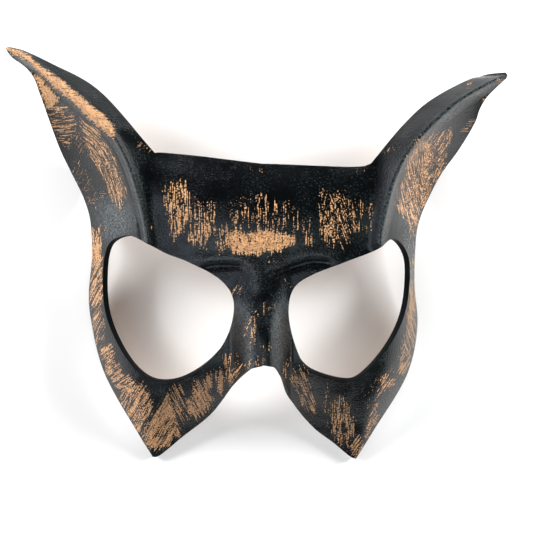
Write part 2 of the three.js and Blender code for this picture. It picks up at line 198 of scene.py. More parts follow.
# Where the camera of the reference stood, and how its picture maps onto the plan

PICTURE_MIDDLE = 266.5
PICTURE_SCALE = 0.53  # millimetres across a pixel at the reference height
REFERENCE_HEIGHT = 30
CAMERA_HEIGHT = 700


def smooth(start, end, value):
    """S-curve from 0 at start to 1 at end: 3t^2 - 2t^3."""
    t = np.clip((value - start) / (end - start), 0, 1)
    return t * t * (3 - 2 * t)


def bell(distance, half_width):
    """Bell curve of height 1: e to the minus square of the distance over the half width."""
    return np.exp(-((distance / half_width) ** 2))


def mix(a, b, share):
    """From a to b by a share."""
    return a + (b - a) * share


def hermite(start, end, slope_start, slope_end, t):
    """Cubic from start to end with given slopes, t from 0 to 1."""
    t2, t3 = t * t, t * t * t
    ends = start * (2 * t3 - 3 * t2 + 1) + end * (3 * t2 - 2 * t3)
    return ends + slope_start * (t3 - 2 * t2 + t) + slope_end * (t3 - t2)


def curve_through(points, closed, per_span=48):
    """Centripetal spline: between two points it is a cubic, and the slope at each point follows from the
    points beside it, with spans as long as the square root of their chords."""
    points = np.array([(*point, 0.0)[:3] for point in points])
    if closed:
        ring = np.concatenate([points[-1:], points, points[:2]])
    else:
        ring = np.concatenate([2 * points[:1] - points[1:2], points, 2 * points[-1:] - points[-2:-1]])
    p0, p1, p2, p3 = ring[:-3], ring[1:-2], ring[2:-1], ring[3:]
    chords = (p1 - p0, p2 - p1, p3 - p2)
    d0, d1, d2 = (np.linalg.norm(chord, axis=1, keepdims=True) ** 0.5 for chord in chords)
    slope1 = d1 * ((p1 - p0) / d0 - (p2 - p0) / (d0 + d1) + (p2 - p1) / d1)
    slope2 = d1 * ((p2 - p1) / d1 - (p3 - p1) / (d1 + d2) + (p3 - p2) / d2)
    t = (np.arange(per_span) / per_span)[None, :, None]
    spans = hermite(p1[:, None], p2[:, None], slope1[:, None], slope2[:, None], t)
    return np.concatenate([spans.reshape(-1, 3), p2[-1:]])


class Line:
    """A smooth line on the mask with its running length in plan."""

    def __init__(self, points, closed=False):
        self.points = curve_through(points, closed)
        steps = np.diff(self.points[:, :2], axis=0)
        self.lengths = np.concatenate([[0.0], np.cumsum(np.hypot(steps[:, 0], steps[:, 1]))])
        self.total = self.lengths[-1]

    def at(self, length):
        """x and y at running lengths."""
        return np.stack([np.interp(length, self.lengths, self.points[:, axis]) for axis in (0, 1)], axis=-1)

    def crossing(self, y):
        """x, z and running length where a line that runs down the mask passes y."""
        columns = (self.points[:, 0], self.points[:, 2], self.lengths)
        return [np.interp(-y, -self.points[:, 1], column) for column in columns]


def profile(pairs, y):
    """Smooth curve through (y, value) pairs: a cubic between neighbours, whose slope at a pair is that of
    the line between the pairs beside it."""
    ys, values = np.array(pairs, float).T
    before = np.maximum(np.arange(len(ys)) - 1, 0)
    after = np.minimum(np.arange(len(ys)) + 1, len(ys) - 1)
    slopes = (values[after] - values[before]) / (ys[after] - ys[before])
    y = np.clip(y, ys[0], ys[-1])
    i = np.clip(np.searchsorted(ys, y) - 1, 0, len(ys) - 2)
    span = ys[i + 1] - ys[i]
    return hermite(values[i], values[i + 1], span * slopes[i], span * slopes[i + 1], (y - ys[i]) / span)


def rounded_minimum(a, b, blend):
    """The lower of two sheets, with the crease between them rounded over a blend height."""
    share = np.clip(0.5 + 0.5 * (b - a) / blend, 0, 1)
    return mix(b, a, share) - blend * share * (1 - share)


for half in (LEFT, RIGHT):
    half["edge_line"] = Line(half["outer_edge"])
    half["fold_line"] = Line(half["fold"])


def midline_x(y):
    """x of the middle of the face at y."""
    return MIDLINE["x"] + MIDLINE["lean"] * y


def from_fold(half, x, y):
    """Distance out from the fold, square to it, and running length along it."""
    fold_x, _, along = half["fold_line"].crossing(y)
    run = half["fold_line"].crossing(y + 1)[0] - half["fold_line"].crossing(y - 1)[0]
    return (x - fold_x) * half["side"] * (2 / np.hypot(2, run)), along


def nose(half, u, y):
    """The nose: an arch that falls with a power of the distance from the midline, flat on top, its foot
    rounded."""
    height = np.maximum(NOSE_ARCH["least"], profile(NOSE_HEIGHT, y))
    flat = NOSE_ARCH["flat"]
    arch = height * (1 - ((np.hypot(u, flat) - flat) / (half["nose_width"] - flat)) ** NOSE_ARCH["power"])
    return -rounded_minimum(-arch, np.zeros_like(arch), NOSE_ARCH["foot"] * height)


def brows(x, y):
    """Rolls and creases over the eyes: a bell of the distance to a line, faded at both ends of the line."""
    z = np.zeros_like(x)
    for height, half_width, points in BROW_LINES:
        line = Line(points)
        path = line.points[::BROW_STEP, :2]
        shares = line.lengths[::BROW_STEP] / line.total
        gaps = np.hypot(x[..., None] - path[:, 0], y[..., None] - path[:, 1])
        nearest = gaps.argmin(axis=-1)
        share = shares[nearest]
        fade = smooth(0, BROW_FADE, share) * smooth(1, 1 - BROW_FADE, share)
        z += height * bell(gaps.min(axis=-1), half_width) * fade
    return z


def half_height(half, x, y, detail, bead_height):
    """Height of one half: the rounded minimum of a front, which is the face's dome or the ear's inner side,
    and of a side that falls from the fold to the outer edge, plus the ear's bead, less its groove, plus the
    nose."""
    fold_x, fold_z, _ = half["fold_line"].crossing(y)
    edge_x, edge_z, _ = half["edge_line"].crossing(y)
    distance, _ = from_fold(half, x, y)
    u = np.abs(x - midline_x(y))

    depth = profile(VALLEY_DEPTH, y) * half["valley"]
    crown = profile(CROWN, y)
    across = u / np.abs(fold_x - midline_x(y))
    climb = np.clip(1 + distance / profile(VALLEY_REACH, y), 0, DOME["overshoot"])
    dome = crown + (fold_z - depth - crown) * across ** DOME["fall"] + depth * climb ** DOME["climb"]

    inward = np.maximum(0, -distance)
    drop = profile(FLAP_DROP, y) * (1 - np.exp(-inward / FLAP["drop_reach"]))
    curve = profile(FLAP_CURVE, y) * (1 - bell(inward, FLAP["curve_reach"]))
    flap = fold_z - drop - curve + np.maximum(0, distance)
    near_fold = 1 - smooth(FLAP["fades_from"], FLAP["fades_to"], inward)
    front = mix(dome, flap, smooth(FLAP["starts"], FLAP["full"], y) * near_fold)

    part = (x - fold_x) * half["side"] / np.maximum(NARROWEST_SIDE, np.abs(edge_x - fold_x))
    bend = profile(SIDE_BEND, y)
    fall = np.where(part > 0, part + bend * part * (1 - part), (1 + bend) * part)
    side = mix(fold_z, edge_z, fall)

    z = rounded_minimum(front, side, profile(FOLD_SOFTNESS, y) + INSIDE["softer"] * (1 - detail))
    thinned = mix(1, BEAD["at_tip"], smooth(BEAD["thins_from"], BEAD["thins_to"], y))
    on_ear = smooth(BEAD["starts"], BEAD["full"], y) * thinned * detail
    bead_width = np.where(distance < 0, half["inner_bead"], half["bead"])
    z = z + on_ear * bead_height * bell(distance, bead_width)
    z = z - on_ear * half["groove"] * bell(distance - GROOVE["offset"] * half["bead"], GROOVE["half_width"])
    return z + nose(half, u, y)


def by_half(x, y, function, *values):
    """A function of the half that each point lies in."""
    return np.where(x < midline_x(y), function(LEFT, x, y, *values), function(RIGHT, x, y, *values))


def wear_and_highlight(x, y):
    """How much grey the leather takes, from 0 to 1: on the rolls of the brows and the beads of the ears
    partly real worn leather and partly painted highlight, and down each side of the nose a band of painted
    highlight."""
    nose_highlight = bell(np.abs(x - midline_x(y)) - NOSE_HIGHLIGHT["out"], NOSE_HIGHLIGHT["half_width"])
    nose_highlight = nose_highlight * smooth(NOSE_HIGHLIGHT["starts"], NOSE_HIGHLIGHT["full"], y)
    out, _ = by_half(x, y, from_fold)
    width = np.where(x < midline_x(y), LEFT["bead"], RIGHT["bead"])
    bead = bell(out - RUB_AND_HIGHLIGHT["beyond_fold"], width) * smooth(BEAD["starts"], BEAD["full"], y)
    return np.clip(RUB_AND_HIGHLIGHT["brows"] * np.maximum(brows(x, y), 0) + bead + nose_highlight, 0, 1)


def hand_shaping(x, y):
    """The unevenness that fingers leave in wet leather, about 1 high: the product of two sine waves, each
    bent by one that runs across it, and 0.6 of a product of two slanting ones."""
    return (
        np.sin(x / 5.1 + 1.3 * np.sin(y / 8.3)) * np.sin(y / 6.7 + 0.9 * np.sin(x / 9.7))
        + 0.6 * np.sin(x / 2.9 - y / 7.9 + 2.0) * np.sin(y / 3.7 + x / 11.0)
    ) / 1.6


def outer_height(x, y, shape):
    """Height of the face of the mask."""
    z = by_half(x, y, half_height, 1, shape.bead_height / MM) + brows(x, y)
    return z + shape.unevenness / MM * hand_shaping(x, y)


def inner_point(x, y, shape):
    """Point on the face inside: a leather's thickness below the face along its normal. The slope is taken
    over a few millimetres, so that the inside turns more gently at a fold, and the ear tips are pared
    thinner."""
    reach = INSIDE["slope_reach"]
    z = by_half(x, y, half_height, 0, 0)
    slope_x = by_half(x + reach, y, half_height, 0, 0) - by_half(x - reach, y, half_height, 0, 0)
    slope_y = by_half(x, y + reach, half_height, 0, 0) - by_half(x, y - reach, half_height, 0, 0)
    normal = np.stack([-slope_x, -slope_y, np.full_like(z, 2 * reach)], axis=-1)
    normal /= np.linalg.norm(normal, axis=-1, keepdims=True)
    from_tip = by_half(x, y, lambda half, x, y: np.hypot(x - half["fold"][0][0], y - half["fold"][0][1]))
    thickness = shape.leather / MM * mix(TIP["share"], 1, smooth(0, TIP["length"], from_tip))
    z = z + INSIDE["brows"] * brows(x, y) + shape.unevenness / MM * hand_shaping(x, y)
    return np.stack([x, y, z], axis=-1) - thickness[..., None] * normal


def plan_of_half(half):
    """The plan of one half as two grids of points: a ring of spokes from the eye hole to the outline,
    closed round the hole, and the ear above it, whose columns run from its base to its tip."""
    eye = Line(half["eye"], closed=True)
    ear_inner = Line(half["ear_inner_edge"][::-1])
    forehead = Line(half["forehead_edge"])
    cheek = Line(half["cheek_inner_edge"])
    edge, fold = half["edge_line"], half["fold_line"]
    waist_length = edge.crossing(BASE["waist_y"])[2]
    base_length = fold.crossing(BASE["fold_y"])[2]
    fold_point, waist, notch = fold.at(base_length), edge.at(waist_length), ear_inner.at(0)

    def beside(target, gap):
        return mix(fold_point, target, gap / np.linalg.norm(target - fold_point))

    outside, inside = beside(waist, BASE["outside_fold"]), beside(notch, BASE["inside_fold"])
    base = np.array([waist, outside, fold_point, inside, notch])

    def on_base(place):
        return np.stack([np.interp(place, range(-2, 3), base[:, axis]) for axis in (0, 1)], axis=-1)

    def on_midline(share):
        y = mix(half["forehead_edge"][-1][1], half["cheek_inner_edge"][0][1], share)
        return np.stack([midline_x(y), y], axis=-1)

    outline = {
        "base": on_base,
        "forehead": lambda share: forehead.at(share * forehead.total),
        "midline": on_midline,
        "cheek": lambda share: cheek.at(share * cheek.total),
        "temple": lambda share: edge.at(mix(edge.total, waist_length, share)),
    }
    roots, tips, bows, places = [], [], [], []
    rim_from = 0
    for rim_to, part, start, end, count in SPOKES:
        share = np.arange(1, count + 1) / count
        place = mix(start, end, share)
        roots.append(eye.at(mix(rim_from, rim_to, share) * eye.total))
        tips.append(outline[part](place))
        gap = np.linalg.norm(tips[-1] - fold_point, axis=1) / np.linalg.norm(waist - fold_point)
        bows.append(np.maximum(0, 1 - gap / BOW_REACH) if part == "base" else np.zeros(count))
        places.append(place if part == "base" else np.full(count, np.nan))
        rim_from = rim_to
    roots, tips, bows, places = (np.concatenate(parts) for parts in (roots, tips, bows, places))

    t = np.linspace(0, 1, RING_ROWS + 1)
    ring = mix(roots[:, None], tips[:, None], t[None, :, None])
    chord = mix(roots[-1], tips[-1], t[:, None])
    bow = fold.crossing(chord[:, 1])[0] - chord[:, 0]
    ring[:, 1:-1, 0] += (bows[:, None] * bow[None, :])[:, 1:-1]

    below_ear = np.flatnonzero(~np.isnan(places))
    below_ear = below_ear[np.argsort(places[below_ear])]
    bases = np.concatenate([waist[None], tips[below_ear]])
    outer = np.concatenate([[-2], places[below_ear]]) <= 0
    spans = np.where(outer, np.linalg.norm(waist - fold_point), np.linalg.norm(notch - fold_point))
    shares = np.linalg.norm(bases - fold_point, axis=1) / spans
    t = np.linspace(0, 1, EAR_ROWS + 1)
    middle = fold.at(mix(base_length, 0, t))
    outer_rim, inner_rim = edge.at(mix(waist_length, 0, t)), ear_inner.at(t * ear_inner.total)
    rims = np.where(outer[:, None, None], outer_rim, inner_rim)
    ear = mix(middle[None], rims, shares[:, None, None])
    ear[:, 0] = bases
    return ring, ear


def grid_faces(numbers, closed):
    """The four-sided faces between the lines of a grid of vertex numbers."""
    following = np.roll(numbers, -1, axis=0)
    if not closed:
        numbers, following = numbers[:-1], following[:-1]
    corners = (numbers[:, :-1], numbers[:, 1:], following[:, 1:], following[:, :-1])
    return np.stack([corner.ravel() for corner in corners], axis=-1)


def plan_of_mask():
    """All points of the plan, each once, and its faces, turned anticlockwise."""
    grids = []
    for half in (LEFT, RIGHT):
        ring, ear = plan_of_half(half)
        grids += [(ring, True), (ear, False)]
    points = np.concatenate([grid.reshape(-1, 2) for grid, _ in grids])
    keys = np.round(points / WELD).astype(np.int64)
    _, first, numbers = np.unique(keys, axis=0, return_index=True, return_inverse=True)
    numbers = numbers.ravel()
    faces, used = [], 0
    for grid, closed in grids:
        lines, rows = grid.shape[:2]
        faces.append(grid_faces(numbers[used:used + lines * rows].reshape(lines, rows), closed))
        used += lines * rows
    faces = np.concatenate(faces)
    plan = points[first]
    x, y = plan[faces, 0], plan[faces, 1]
    area = np.sum(x * np.roll(y, -1, axis=1) - np.roll(x, -1, axis=1) * y, axis=1)
    faces[area < 0] = faces[area < 0][:, ::-1]
    return plan, faces


def rim_of(plan, faces):
    """The vertices on the open edges with the ones before and after each, going round with the leather on
    the left, and the nearest distance from each of them to the next row in."""
    starts, ends = faces.ravel(), np.roll(faces, -1, axis=1).ravel()
    size = len(plan)
    open_edge = ~np.isin(starts * size + ends, ends * size + starts)
    starts, ends = starts[open_edge], ends[open_edge]
    rim = np.sort(starts)
    after, before = np.empty(size, int), np.empty(size, int)
    after[starts], before[ends] = ends, starts
    lengths = np.linalg.norm(plan[faces] - np.roll(plan[faces], 1, axis=1), axis=-1)
    shortest = np.full(size, np.inf)
    np.minimum.at(shortest, faces.ravel(), lengths.ravel())
    return rim, after[rim], before[rim], shortest[rim]


def rim_rows(plan, rim, after, before, radius, shape):
    """Rows of points round the cut edge, from the face to the face inside. Both corners are quarter circles
    in the plane of the outward direction and the wall."""
    along = plan[after] - plan[before]
    along /= np.linalg.norm(along, axis=1, keepdims=True)
    out = np.stack([along[:, 1], -along[:, 0]], axis=-1)
    x, y = plan[rim].T
    back = outer_height(*(plan[rim] - out).T, shape)
    top = np.column_stack([x, y, outer_height(x, y, shape)])
    foot = inner_point(x, y, shape)
    outward = np.column_stack([out, top[:, 2] - back])
    outward /= np.linalg.norm(outward, axis=1, keepdims=True)
    wall = foot - top
    wall /= np.linalg.norm(wall, axis=1, keepdims=True)
    turn = np.radians(RIM_TURN)[:, None, None]
    radius = radius[None, :, None]
    upper = top - radius * (1 - np.sin(turn)) * outward + radius * (1 - np.cos(turn)) * wall
    lower = foot - radius * (1 - np.sin(turn)) * outward - radius * (1 - np.cos(turn)) * wall
    return out, np.concatenate([upper, lower[::-1]])


def distance_to_rim(points, rim_points, block=2000):
    """Distance in plan from each point to the nearest point of the open edges, a block of points at a
    time."""
    parts = []
    for start in range(0, len(points), block):
        gaps = points[start:start + block, None] - rim_points[None]
        parts.append(np.sqrt((gaps**2).sum(axis=-1).min(axis=1)))
    return np.concatenate(parts)


def seen_from_above(points):
    """Where the reference camera, straight above the origin of the plan, sees points: pixels right and
    down."""
    scale = PICTURE_SCALE * (CAMERA_HEIGHT - points[:, 2]) / (CAMERA_HEIGHT - REFERENCE_HEIGHT)
    return np.column_stack([PICTURE_MIDDLE + points[:, 0] / scale, PICTURE_MIDDLE - points[:, 1] / scale])


# Paint. Each pass of the brush has a kind of stroke, how much of the leather it covers, and its outline as
# the reference camera sees it, in pixels. Strokes of the kinds "along" and "across" follow the fold of the
# ear; the others have a direction in plan, in degrees from +X.

STROKES = {
    # Angle in plan and as seen, length and width of one mark in millimetres, and how much further the ends
    # fade
    "up": (90, 90, 6, 0.56, 4),
    "lean": (111, 111, 7, 0.46, 3.5),
    "slant": (58, 58, 7, 0.5, 3),
    "low": (38, 38, 5, 0.55, 2.5),
    "hair_lean": (111, 111, 5, 0.3, 3.5),
    "hair_slant": (58, 58, 5, 0.3, 3),
    "along": (0, 118, 6, 0.34, 3.5),
    "across": (90, 28, 4, 0.56, 2.5),
}
FOLLOW_FOLD = ("along", "across")
BRUSH_SOFT = 3  # how far a pass fades at its sides, in pixels
PAINTED_DEPTH = 0.3  # the share of the cut edge's depth that the paint and the painted grey sheen reach
CRISP = {"from": 0.85, "ends": 1.3}  # passes that cover more than this share end more sharply

PASSES = [
    # Left ear: a ragged band across the fold, a solid patch, short rows and long streaks on the outer side
    ("across", 0.97, [
        (7, 47.5), (21, 51), (32, 57.4), (42, 67), (56, 76), (70, 86), (84, 98.8), (98, 110.7),
        (106.7, 117), (115.8, 126.8), (115, 140.9), (103.9, 131), (91.2, 121.2), (78.6, 108.6),
        (67.4, 97.4), (56, 89.6), (46.3, 79.1), (36.5, 69.3), (25.3, 60.2), (14, 56), (7.7, 51),
    ]),
    ("slant", 0.99, [
        (32.3, 73.5), (42, 77.7), (52, 90.4), (60.4, 97.4), (60.4, 103), (56, 108), (47.7, 110),
        (43.5, 100), (39.3, 86), (33.7, 77.7),
    ]),
    ("across", 0.4, [(49, 108.6), (62, 104), (76, 117), (78.6, 128), (70, 148), (60.4, 142), (52, 120)]),
    ("hair_slant", 0.16, [(75.8, 131), (84, 138), (93, 152), (86, 160), (77, 148)]),
    ("along", 0.56, [
        (81.4, 121.2), (98.2, 131), (110.9, 149.3), (119.3, 170.4), (126.3, 191.4), (122, 212.5),
        (112.3, 198.4), (103.9, 177.4), (94, 160.5), (84.2, 139.5),
    ]),
    ("hair_slant", 0.12, [(70, 162), (80, 160), (92, 182), (100, 205), (95, 212), (84, 195), (74, 175)]),
    ("across", 0.06, [(95, 188), (106, 188), (106, 202), (97, 204)]),
    ("up", 0.06, [(92.6, 209.6), (102, 207), (107, 233), (100, 236)]),
    # Left temple, from the waist down to the cheek
    ("up", 0.92, [
        (92.5, 230), (100, 237.4), (101.6, 242.4), (102.8, 254.8), (102.8, 262), (97.4, 263), (92.9, 262),
        (92.9, 242.4),
    ]),
    ("slant", 0.68, [(92.9, 258), (103.2, 258), (104.5, 289.6), (102.8, 306), (92.5, 306), (90.8, 289.6)]),
    ("slant", 0.38, [(93.3, 303), (102.8, 303), (104.9, 322.8), (105.3, 339), (97.4, 346), (94.1, 322.8)]),
    ("low", 0.72, [
        (101.8, 347.1), (107.1, 343.6), (113.4, 344.9), (113.4, 351.6), (116.5, 354.3), (116.5, 360.5),
        (121, 365.9), (125.9, 374.8), (133.9, 379.3), (133.9, 386.4), (131.3, 392.7), (123.2, 391.8),
        (117.9, 386.4), (111.6, 378.4), (108.5, 372.1), (106.3, 365.9), (107.1, 357.9), (100.4, 357),
    ]),
    # Left cheek: two fields that meet at a dark wedge, then patches along the inner edge up to the nose
    ("slant", 0.72, [
        (117.9, 397.1), (122.3, 392.7), (134.8, 384.6), (142, 382), (148.2, 390), (152.7, 397.1),
        (152.7, 407.9), (148.2, 415.9), (146.4, 425.7), (140.2, 432.9), (135.7, 425.7), (130.4, 418.6),
        (123.2, 406.1),
    ]),
    ("slant", 0.88, [
        (157.1, 408.8), (167.9, 393.6), (171.4, 397.1), (175.9, 415.9), (175.9, 425.7), (173.2, 437.3),
        (170.5, 444.5), (162.5, 447.1), (157.1, 449.8), (152.7, 446.3), (147.3, 447.1), (142.9, 439.1),
        (146.4, 431.1), (152.7, 417.7),
    ]),
    ("lean", 0.64, [
        (168.8, 393.6), (174.1, 388.2), (180.4, 382), (184.8, 390.9), (184.8, 416.8), (180.4, 425.7),
        (181.3, 434.6), (178.6, 438.2), (173.2, 434.6), (170.5, 420.4),
    ]),
    ("lean", 0.86, [
        (185.7, 406.1), (192.9, 390), (195.5, 380.2), (200.9, 382.9), (206.3, 379.3), (210.7, 369.5),
        (211.6, 380.2), (210.7, 393.6), (214.3, 398.9), (209.8, 409.6), (202.7, 413.2), (198.2, 416.8),
        (188.4, 416.8),
    ]),
    ("up", 0.36, [(211.5, 370), (216, 371), (216, 381), (212.5, 383)]),
    ("up", 0.97, [
        (217.9, 373.9), (220.5, 365.9), (223.2, 371.3), (225, 382.9), (224.1, 390), (221.4, 395.4),
        (217.9, 384.6),
    ]),
    ("up", 0.92, [
        (223.2, 356.1), (229.5, 354.3), (230.4, 366.8), (232.1, 380.2), (229.5, 382.9), (225.9, 366.8),
    ]),
    ("slant", 0.56, [
        (233, 366.8), (236.6, 362.3), (241, 365), (239.3, 370.4), (234.8, 377.5), (232.1, 382),
    ]),
    ("up", 0.08, [(236, 352), (239, 352), (239, 360), (236.5, 360)]),
    # Forehead, from left to right
    ("up", 0.64, [
        (164, 190.6), (170, 188), (181.5, 180.7), (184.8, 183), (191.4, 198), (189.8, 216.3), (184, 231),
        (172.3, 238.7), (165, 205),
    ]),
    ("up", 0.44, [
        (190, 198), (203, 200), (215, 203), (215, 225), (210, 240), (204, 249.5), (188, 240), (190, 215),
    ]),
    ("up", 0.46, [(213, 228), (228, 225), (229, 245), (222, 254), (214, 246)]),
    ("up", 0.97, [
        (228, 231), (246, 233), (266, 229), (281, 233), (296, 236), (294, 243), (281, 251), (256, 254.5),
        (233, 253), (228, 243),
    ]),
    ("up", 0.2, [(230, 205), (262, 196), (298, 208), (299, 236), (228, 234)]),
    ("up", 0.012, [(232, 190), (262, 172), (292, 188), (300, 210), (228, 208)]),
    ("up", 0.13, [(297, 221), (316, 220), (316, 245), (300, 248)]),
    ("up", 0.38, [(321, 190), (330, 198), (338, 198), (340, 225), (334, 245), (321, 240), (320, 215)]),
    ("lean", 0.2, [(328, 198), (347, 192), (356, 212), (358, 226), (346, 250), (334, 246), (326, 225)]),
    ("up", 0.19, [(347, 202), (372, 203), (375, 212), (370, 232), (352, 230)]),
    ("up", 0.2, [(243, 161.6), (254, 162.5), (262.7, 170), (260, 174), (243, 165)]),
    ("up", 0.15, [(354, 166), (364, 166.5), (364, 169), (354, 169)]),
    ("up", 0.06, [(262, 250), (282, 249), (282, 262), (266, 262)]),
    ("hair_slant", 0.05, [(133, 136), (150, 138), (158, 155), (140, 153)]),
    ("up", 0.1, [(151.3, 220), (153.8, 220), (153.8, 227.4), (151.3, 227.4)]),
    # Nose
    ("slant", 0.26, [(230.8, 288), (241.5, 287), (244, 291.4), (239, 295.5), (232.4, 293.9)]),
    ("lean", 0.2, [(285.4, 279.5), (288, 279.5), (292, 285), (289, 286)]),
    ("slant", 0.2, [(252, 311), (256, 313), (246, 334), (242, 332.8)]),
    ("up", 0.62, [(256, 314), (259.5, 315.4), (255, 329.5), (253.5, 348.6), (250.5, 348), (252, 329)]),
    ("up", 0.08, [(257, 305), (270, 299), (270, 309), (266, 316), (258, 316)]),
    ("up", 0.08, [(272, 305), (279, 306), (278, 320), (273, 318)]),
    ("up", 0.12, [(260, 340), (272, 342), (271.5, 354), (263, 360), (257, 360)]),
    ("up", 0.7, [(243.8, 365), (262.2, 362), (262.2, 364.5), (243.8, 367.4)]),
    # Right cheek
    ("up", 0.34, [(286.5, 355), (289.8, 355), (289.5, 364), (287.4, 375), (283.5, 375), (284, 366)]),
    ("lean", 0.56, [
        (290.2, 374.6), (296.7, 372), (303, 366), (306.8, 370), (308.7, 380), (311.5, 391.3),
        (315.6, 402.4), (316, 410.7), (310.5, 413.5), (304, 408), (298.5, 402.4), (297.6, 393),
        (295.7, 388.5), (290.2, 381),
    ]),
    ("up", 0.36, [(326, 385.7), (328.5, 385.7), (326, 410), (322.5, 410)]),
    ("up", 0.48, [
        (330, 407.9), (333.7, 399.6), (343.8, 395.9), (350.3, 406), (350.3, 413.5), (356.8, 423.6),
        (355.9, 431), (352.2, 437.5), (344.8, 446.8), (337.4, 439.4), (331.8, 433.8), (327.2, 428.3),
        (327.2, 420.9),
    ]),
    ("slant", 0.62, [
        (348.5, 445.8), (356.8, 435.7), (362.3, 443), (359.6, 454), (356.8, 456.9), (351.2, 450.5),
    ]),
    ("slant", 0.66, [
        (365, 433.8), (366, 425.5), (371.6, 409.8), (374.4, 402.4), (378.5, 404.2), (377, 415.3),
        (372.5, 428.3), (367.9, 436.6),
    ]),
    ("slant", 0.46, [(376, 377.4), (385.5, 374), (391, 385.7), (387.3, 394), (380.8, 387)]),
    ("slant", 0.09, [(364, 395), (372, 382), (392, 362), (399, 384), (386, 402), (366, 408)]),
    # Right temple
    ("slant", 0.75, [
        (398.4, 355.2), (406.7, 353.3), (409.5, 359.8), (406.7, 370.9), (403, 374.6), (398.4, 371.8),
    ]),
    ("lean", 0.6, [(406, 312), (414.6, 312), (415, 334), (412, 355), (400, 356), (402, 342), (407.3, 326)]),
    ("up", 0.92, [(407.9, 287.5), (413.6, 287.5), (414.6, 314.3), (407.9, 314.3)]),
    ("up", 0.32, [(409, 225), (416.8, 225), (413.5, 251.8), (413.5, 288), (408.5, 288), (407.9, 251.8)]),
    # Right ear: strokes that meet like the hairs of fur, and flecks round them
    ("hair_slant", 0.38, [
        (427, 139), (441.3, 130), (451.5, 128.8), (451.5, 136.4), (446.4, 149), (445, 165.7),
        (438.8, 178.4), (431, 197), (425, 211), (420, 205), (421, 187.3), (422, 172), (426, 158),
        (427, 147),
    ]),
    ("hair_lean", 0.52, [
        (414.6, 141.5), (421, 137.7), (429, 143), (432, 155), (430, 170), (427, 184), (424, 196),
        (421, 207), (417, 222), (412, 234.5), (405.7, 217.9), (398, 212.8), (395.5, 206.4), (399.3, 191),
        (404.4, 174.6), (407, 159.3), (413.3, 149),
    ]),
    ("hair_lean", 0.06, [(421, 190), (432, 190), (424, 212), (414, 240), (410, 232)]),
    ("across", 0.36, [(460, 130), (470, 119), (474, 122), (466, 134)]),
    ("across", 0.62, [(497.3, 79.5), (505, 80), (505, 83.6), (498, 84)]),
    ("across", 0.2, [(482, 98), (487, 94), (487, 102), (483, 104)]),
    ("across", 0.2, [(465.5, 82), (472, 80), (472, 86), (467, 90.6)]),
    ("across", 0.08, [(433.7, 109.7), (442, 108), (443, 112), (434, 113)]),
    ("slant", 0.3, [(385, 149), (391, 146), (393, 151), (387, 155.5)]),
    ("across", 0.03, [(403, 158), (410, 148), (414, 142), (416, 146), (408, 166), (404, 166)]),
]

# Parts of the face: a name, how many pixels its outlines fade over to either side, and the outlines

TONES = [
    ("wiped_thin", 3, [[(398, 228), (422, 228), (422, 380), (396, 380)]]),
    # Painted sheen: smooth grey where the low parts of both ears catch the light of the walls
    ("painted_sheen", 12, [
        [(100, 205), (114, 200), (128, 206), (134, 222), (124, 238), (104, 240)],
        [(402, 200), (424, 205), (418, 236), (418, 290), (406, 290), (404, 244)],
    ]),
]


def polygon_distance(points, corners):
    """Signed distance from points to a polygon: the least distance to its sides, below 0 inside, where a
    ray crosses the sides an odd number of times."""
    nearest = np.full(len(points), np.inf)
    inside = np.zeros(len(points), bool)
    for a, b in zip(corners, np.roll(corners, -1, axis=0)):
        side = b - a
        gap = points - a
        share = np.clip(gap @ side / (side @ side), 0, 1)
        nearest = np.minimum(nearest, np.linalg.norm(gap - share[:, None] * side, axis=1))
        crosses = (a[1] > points[:, 1]) != (b[1] > points[:, 1])
        rise = side[1] or 1  # no ray crosses a level side, so its rise may be anything but 0
        inside ^= crosses & (points[:, 0] < a[0] + (points[:, 1] - a[1]) / rise * side[0])
    return np.where(inside, -nearest, nearest)


def paint_amounts(seen):
    """How much of each kind of stroke a point takes, from 0 to 1: the most that any pass gives it. The
    outline of each pass is squeezed along its strokes before the distance to it is taken, so the pass fades
    further at the ends of the strokes."""
    amounts = {kind: np.zeros(len(seen)) for kind in STROKES}
    for kind, cover, outline in PASSES:
        _, seen_angle, _, _, ragged = STROKES[kind]
        angle = math.radians(seen_angle)
        along = np.array([math.cos(angle), -math.sin(angle)])
        across = np.array([along[1], -along[0]])
        ragged = mix(ragged, CRISP["ends"], smooth(CRISP["from"], 1, cover))
        axes = np.column_stack([along / ragged, across])
        distance = polygon_distance(seen @ axes, np.array(outline) @ axes)
        amount = cover * (1 - smooth(-0.5 * BRUSH_SOFT, 0.5 * BRUSH_SOFT, distance))
        amounts[kind] = np.maximum(amounts[kind], amount)
    return amounts


def strokes_and_painted_sheen(seen):
    """The shares that the painted leather reads, from 0 to 1, by name: one for each kind of stroke, where
    the paint is wiped thin, and where a painted grey sheen lies on the leather."""
    found = {f"strokes_{kind}": amount for kind, amount in paint_amounts(seen).items()}
    for name, fade, outlines in TONES:
        nearest = np.min([polygon_distance(seen, np.array(outline, float)) for outline in outlines], axis=0)
        found[name] = 1 - smooth(-fade, fade, nearest)
    return found


# Shader nodes


def set_inputs(tree, node, inputs):
    """Sets a node's inputs to values, or joins them to sockets."""
    for key, value in inputs.items():
        if isinstance(value, bpy.types.NodeSocket):
            tree.links.new(value, node.inputs[key])
        else:
            node.inputs[key].default_value = value


def add_node(tree, kind, inputs=None, **settings):
    """A node with these settings and inputs."""
    made = tree.nodes.new(kind)
    for name, value in settings.items():
        setattr(made, name, value)
    set_inputs(tree, made, inputs or {})
    return made


def calculate(tree, operation, a, b=0.0, c=0.0):
    """The result of a Math node."""
    return add_node(tree, "ShaderNodeMath", {0: a, 1: b, 2: c}, operation=operation).outputs[0]


def times(tree, a, b):
    """a times b."""
    return calculate(tree, "MULTIPLY", a, b)


def times_plus(tree, a, b, c):
    """a times b, plus c."""
    return calculate(tree, "MULTIPLY_ADD", a, b, c)


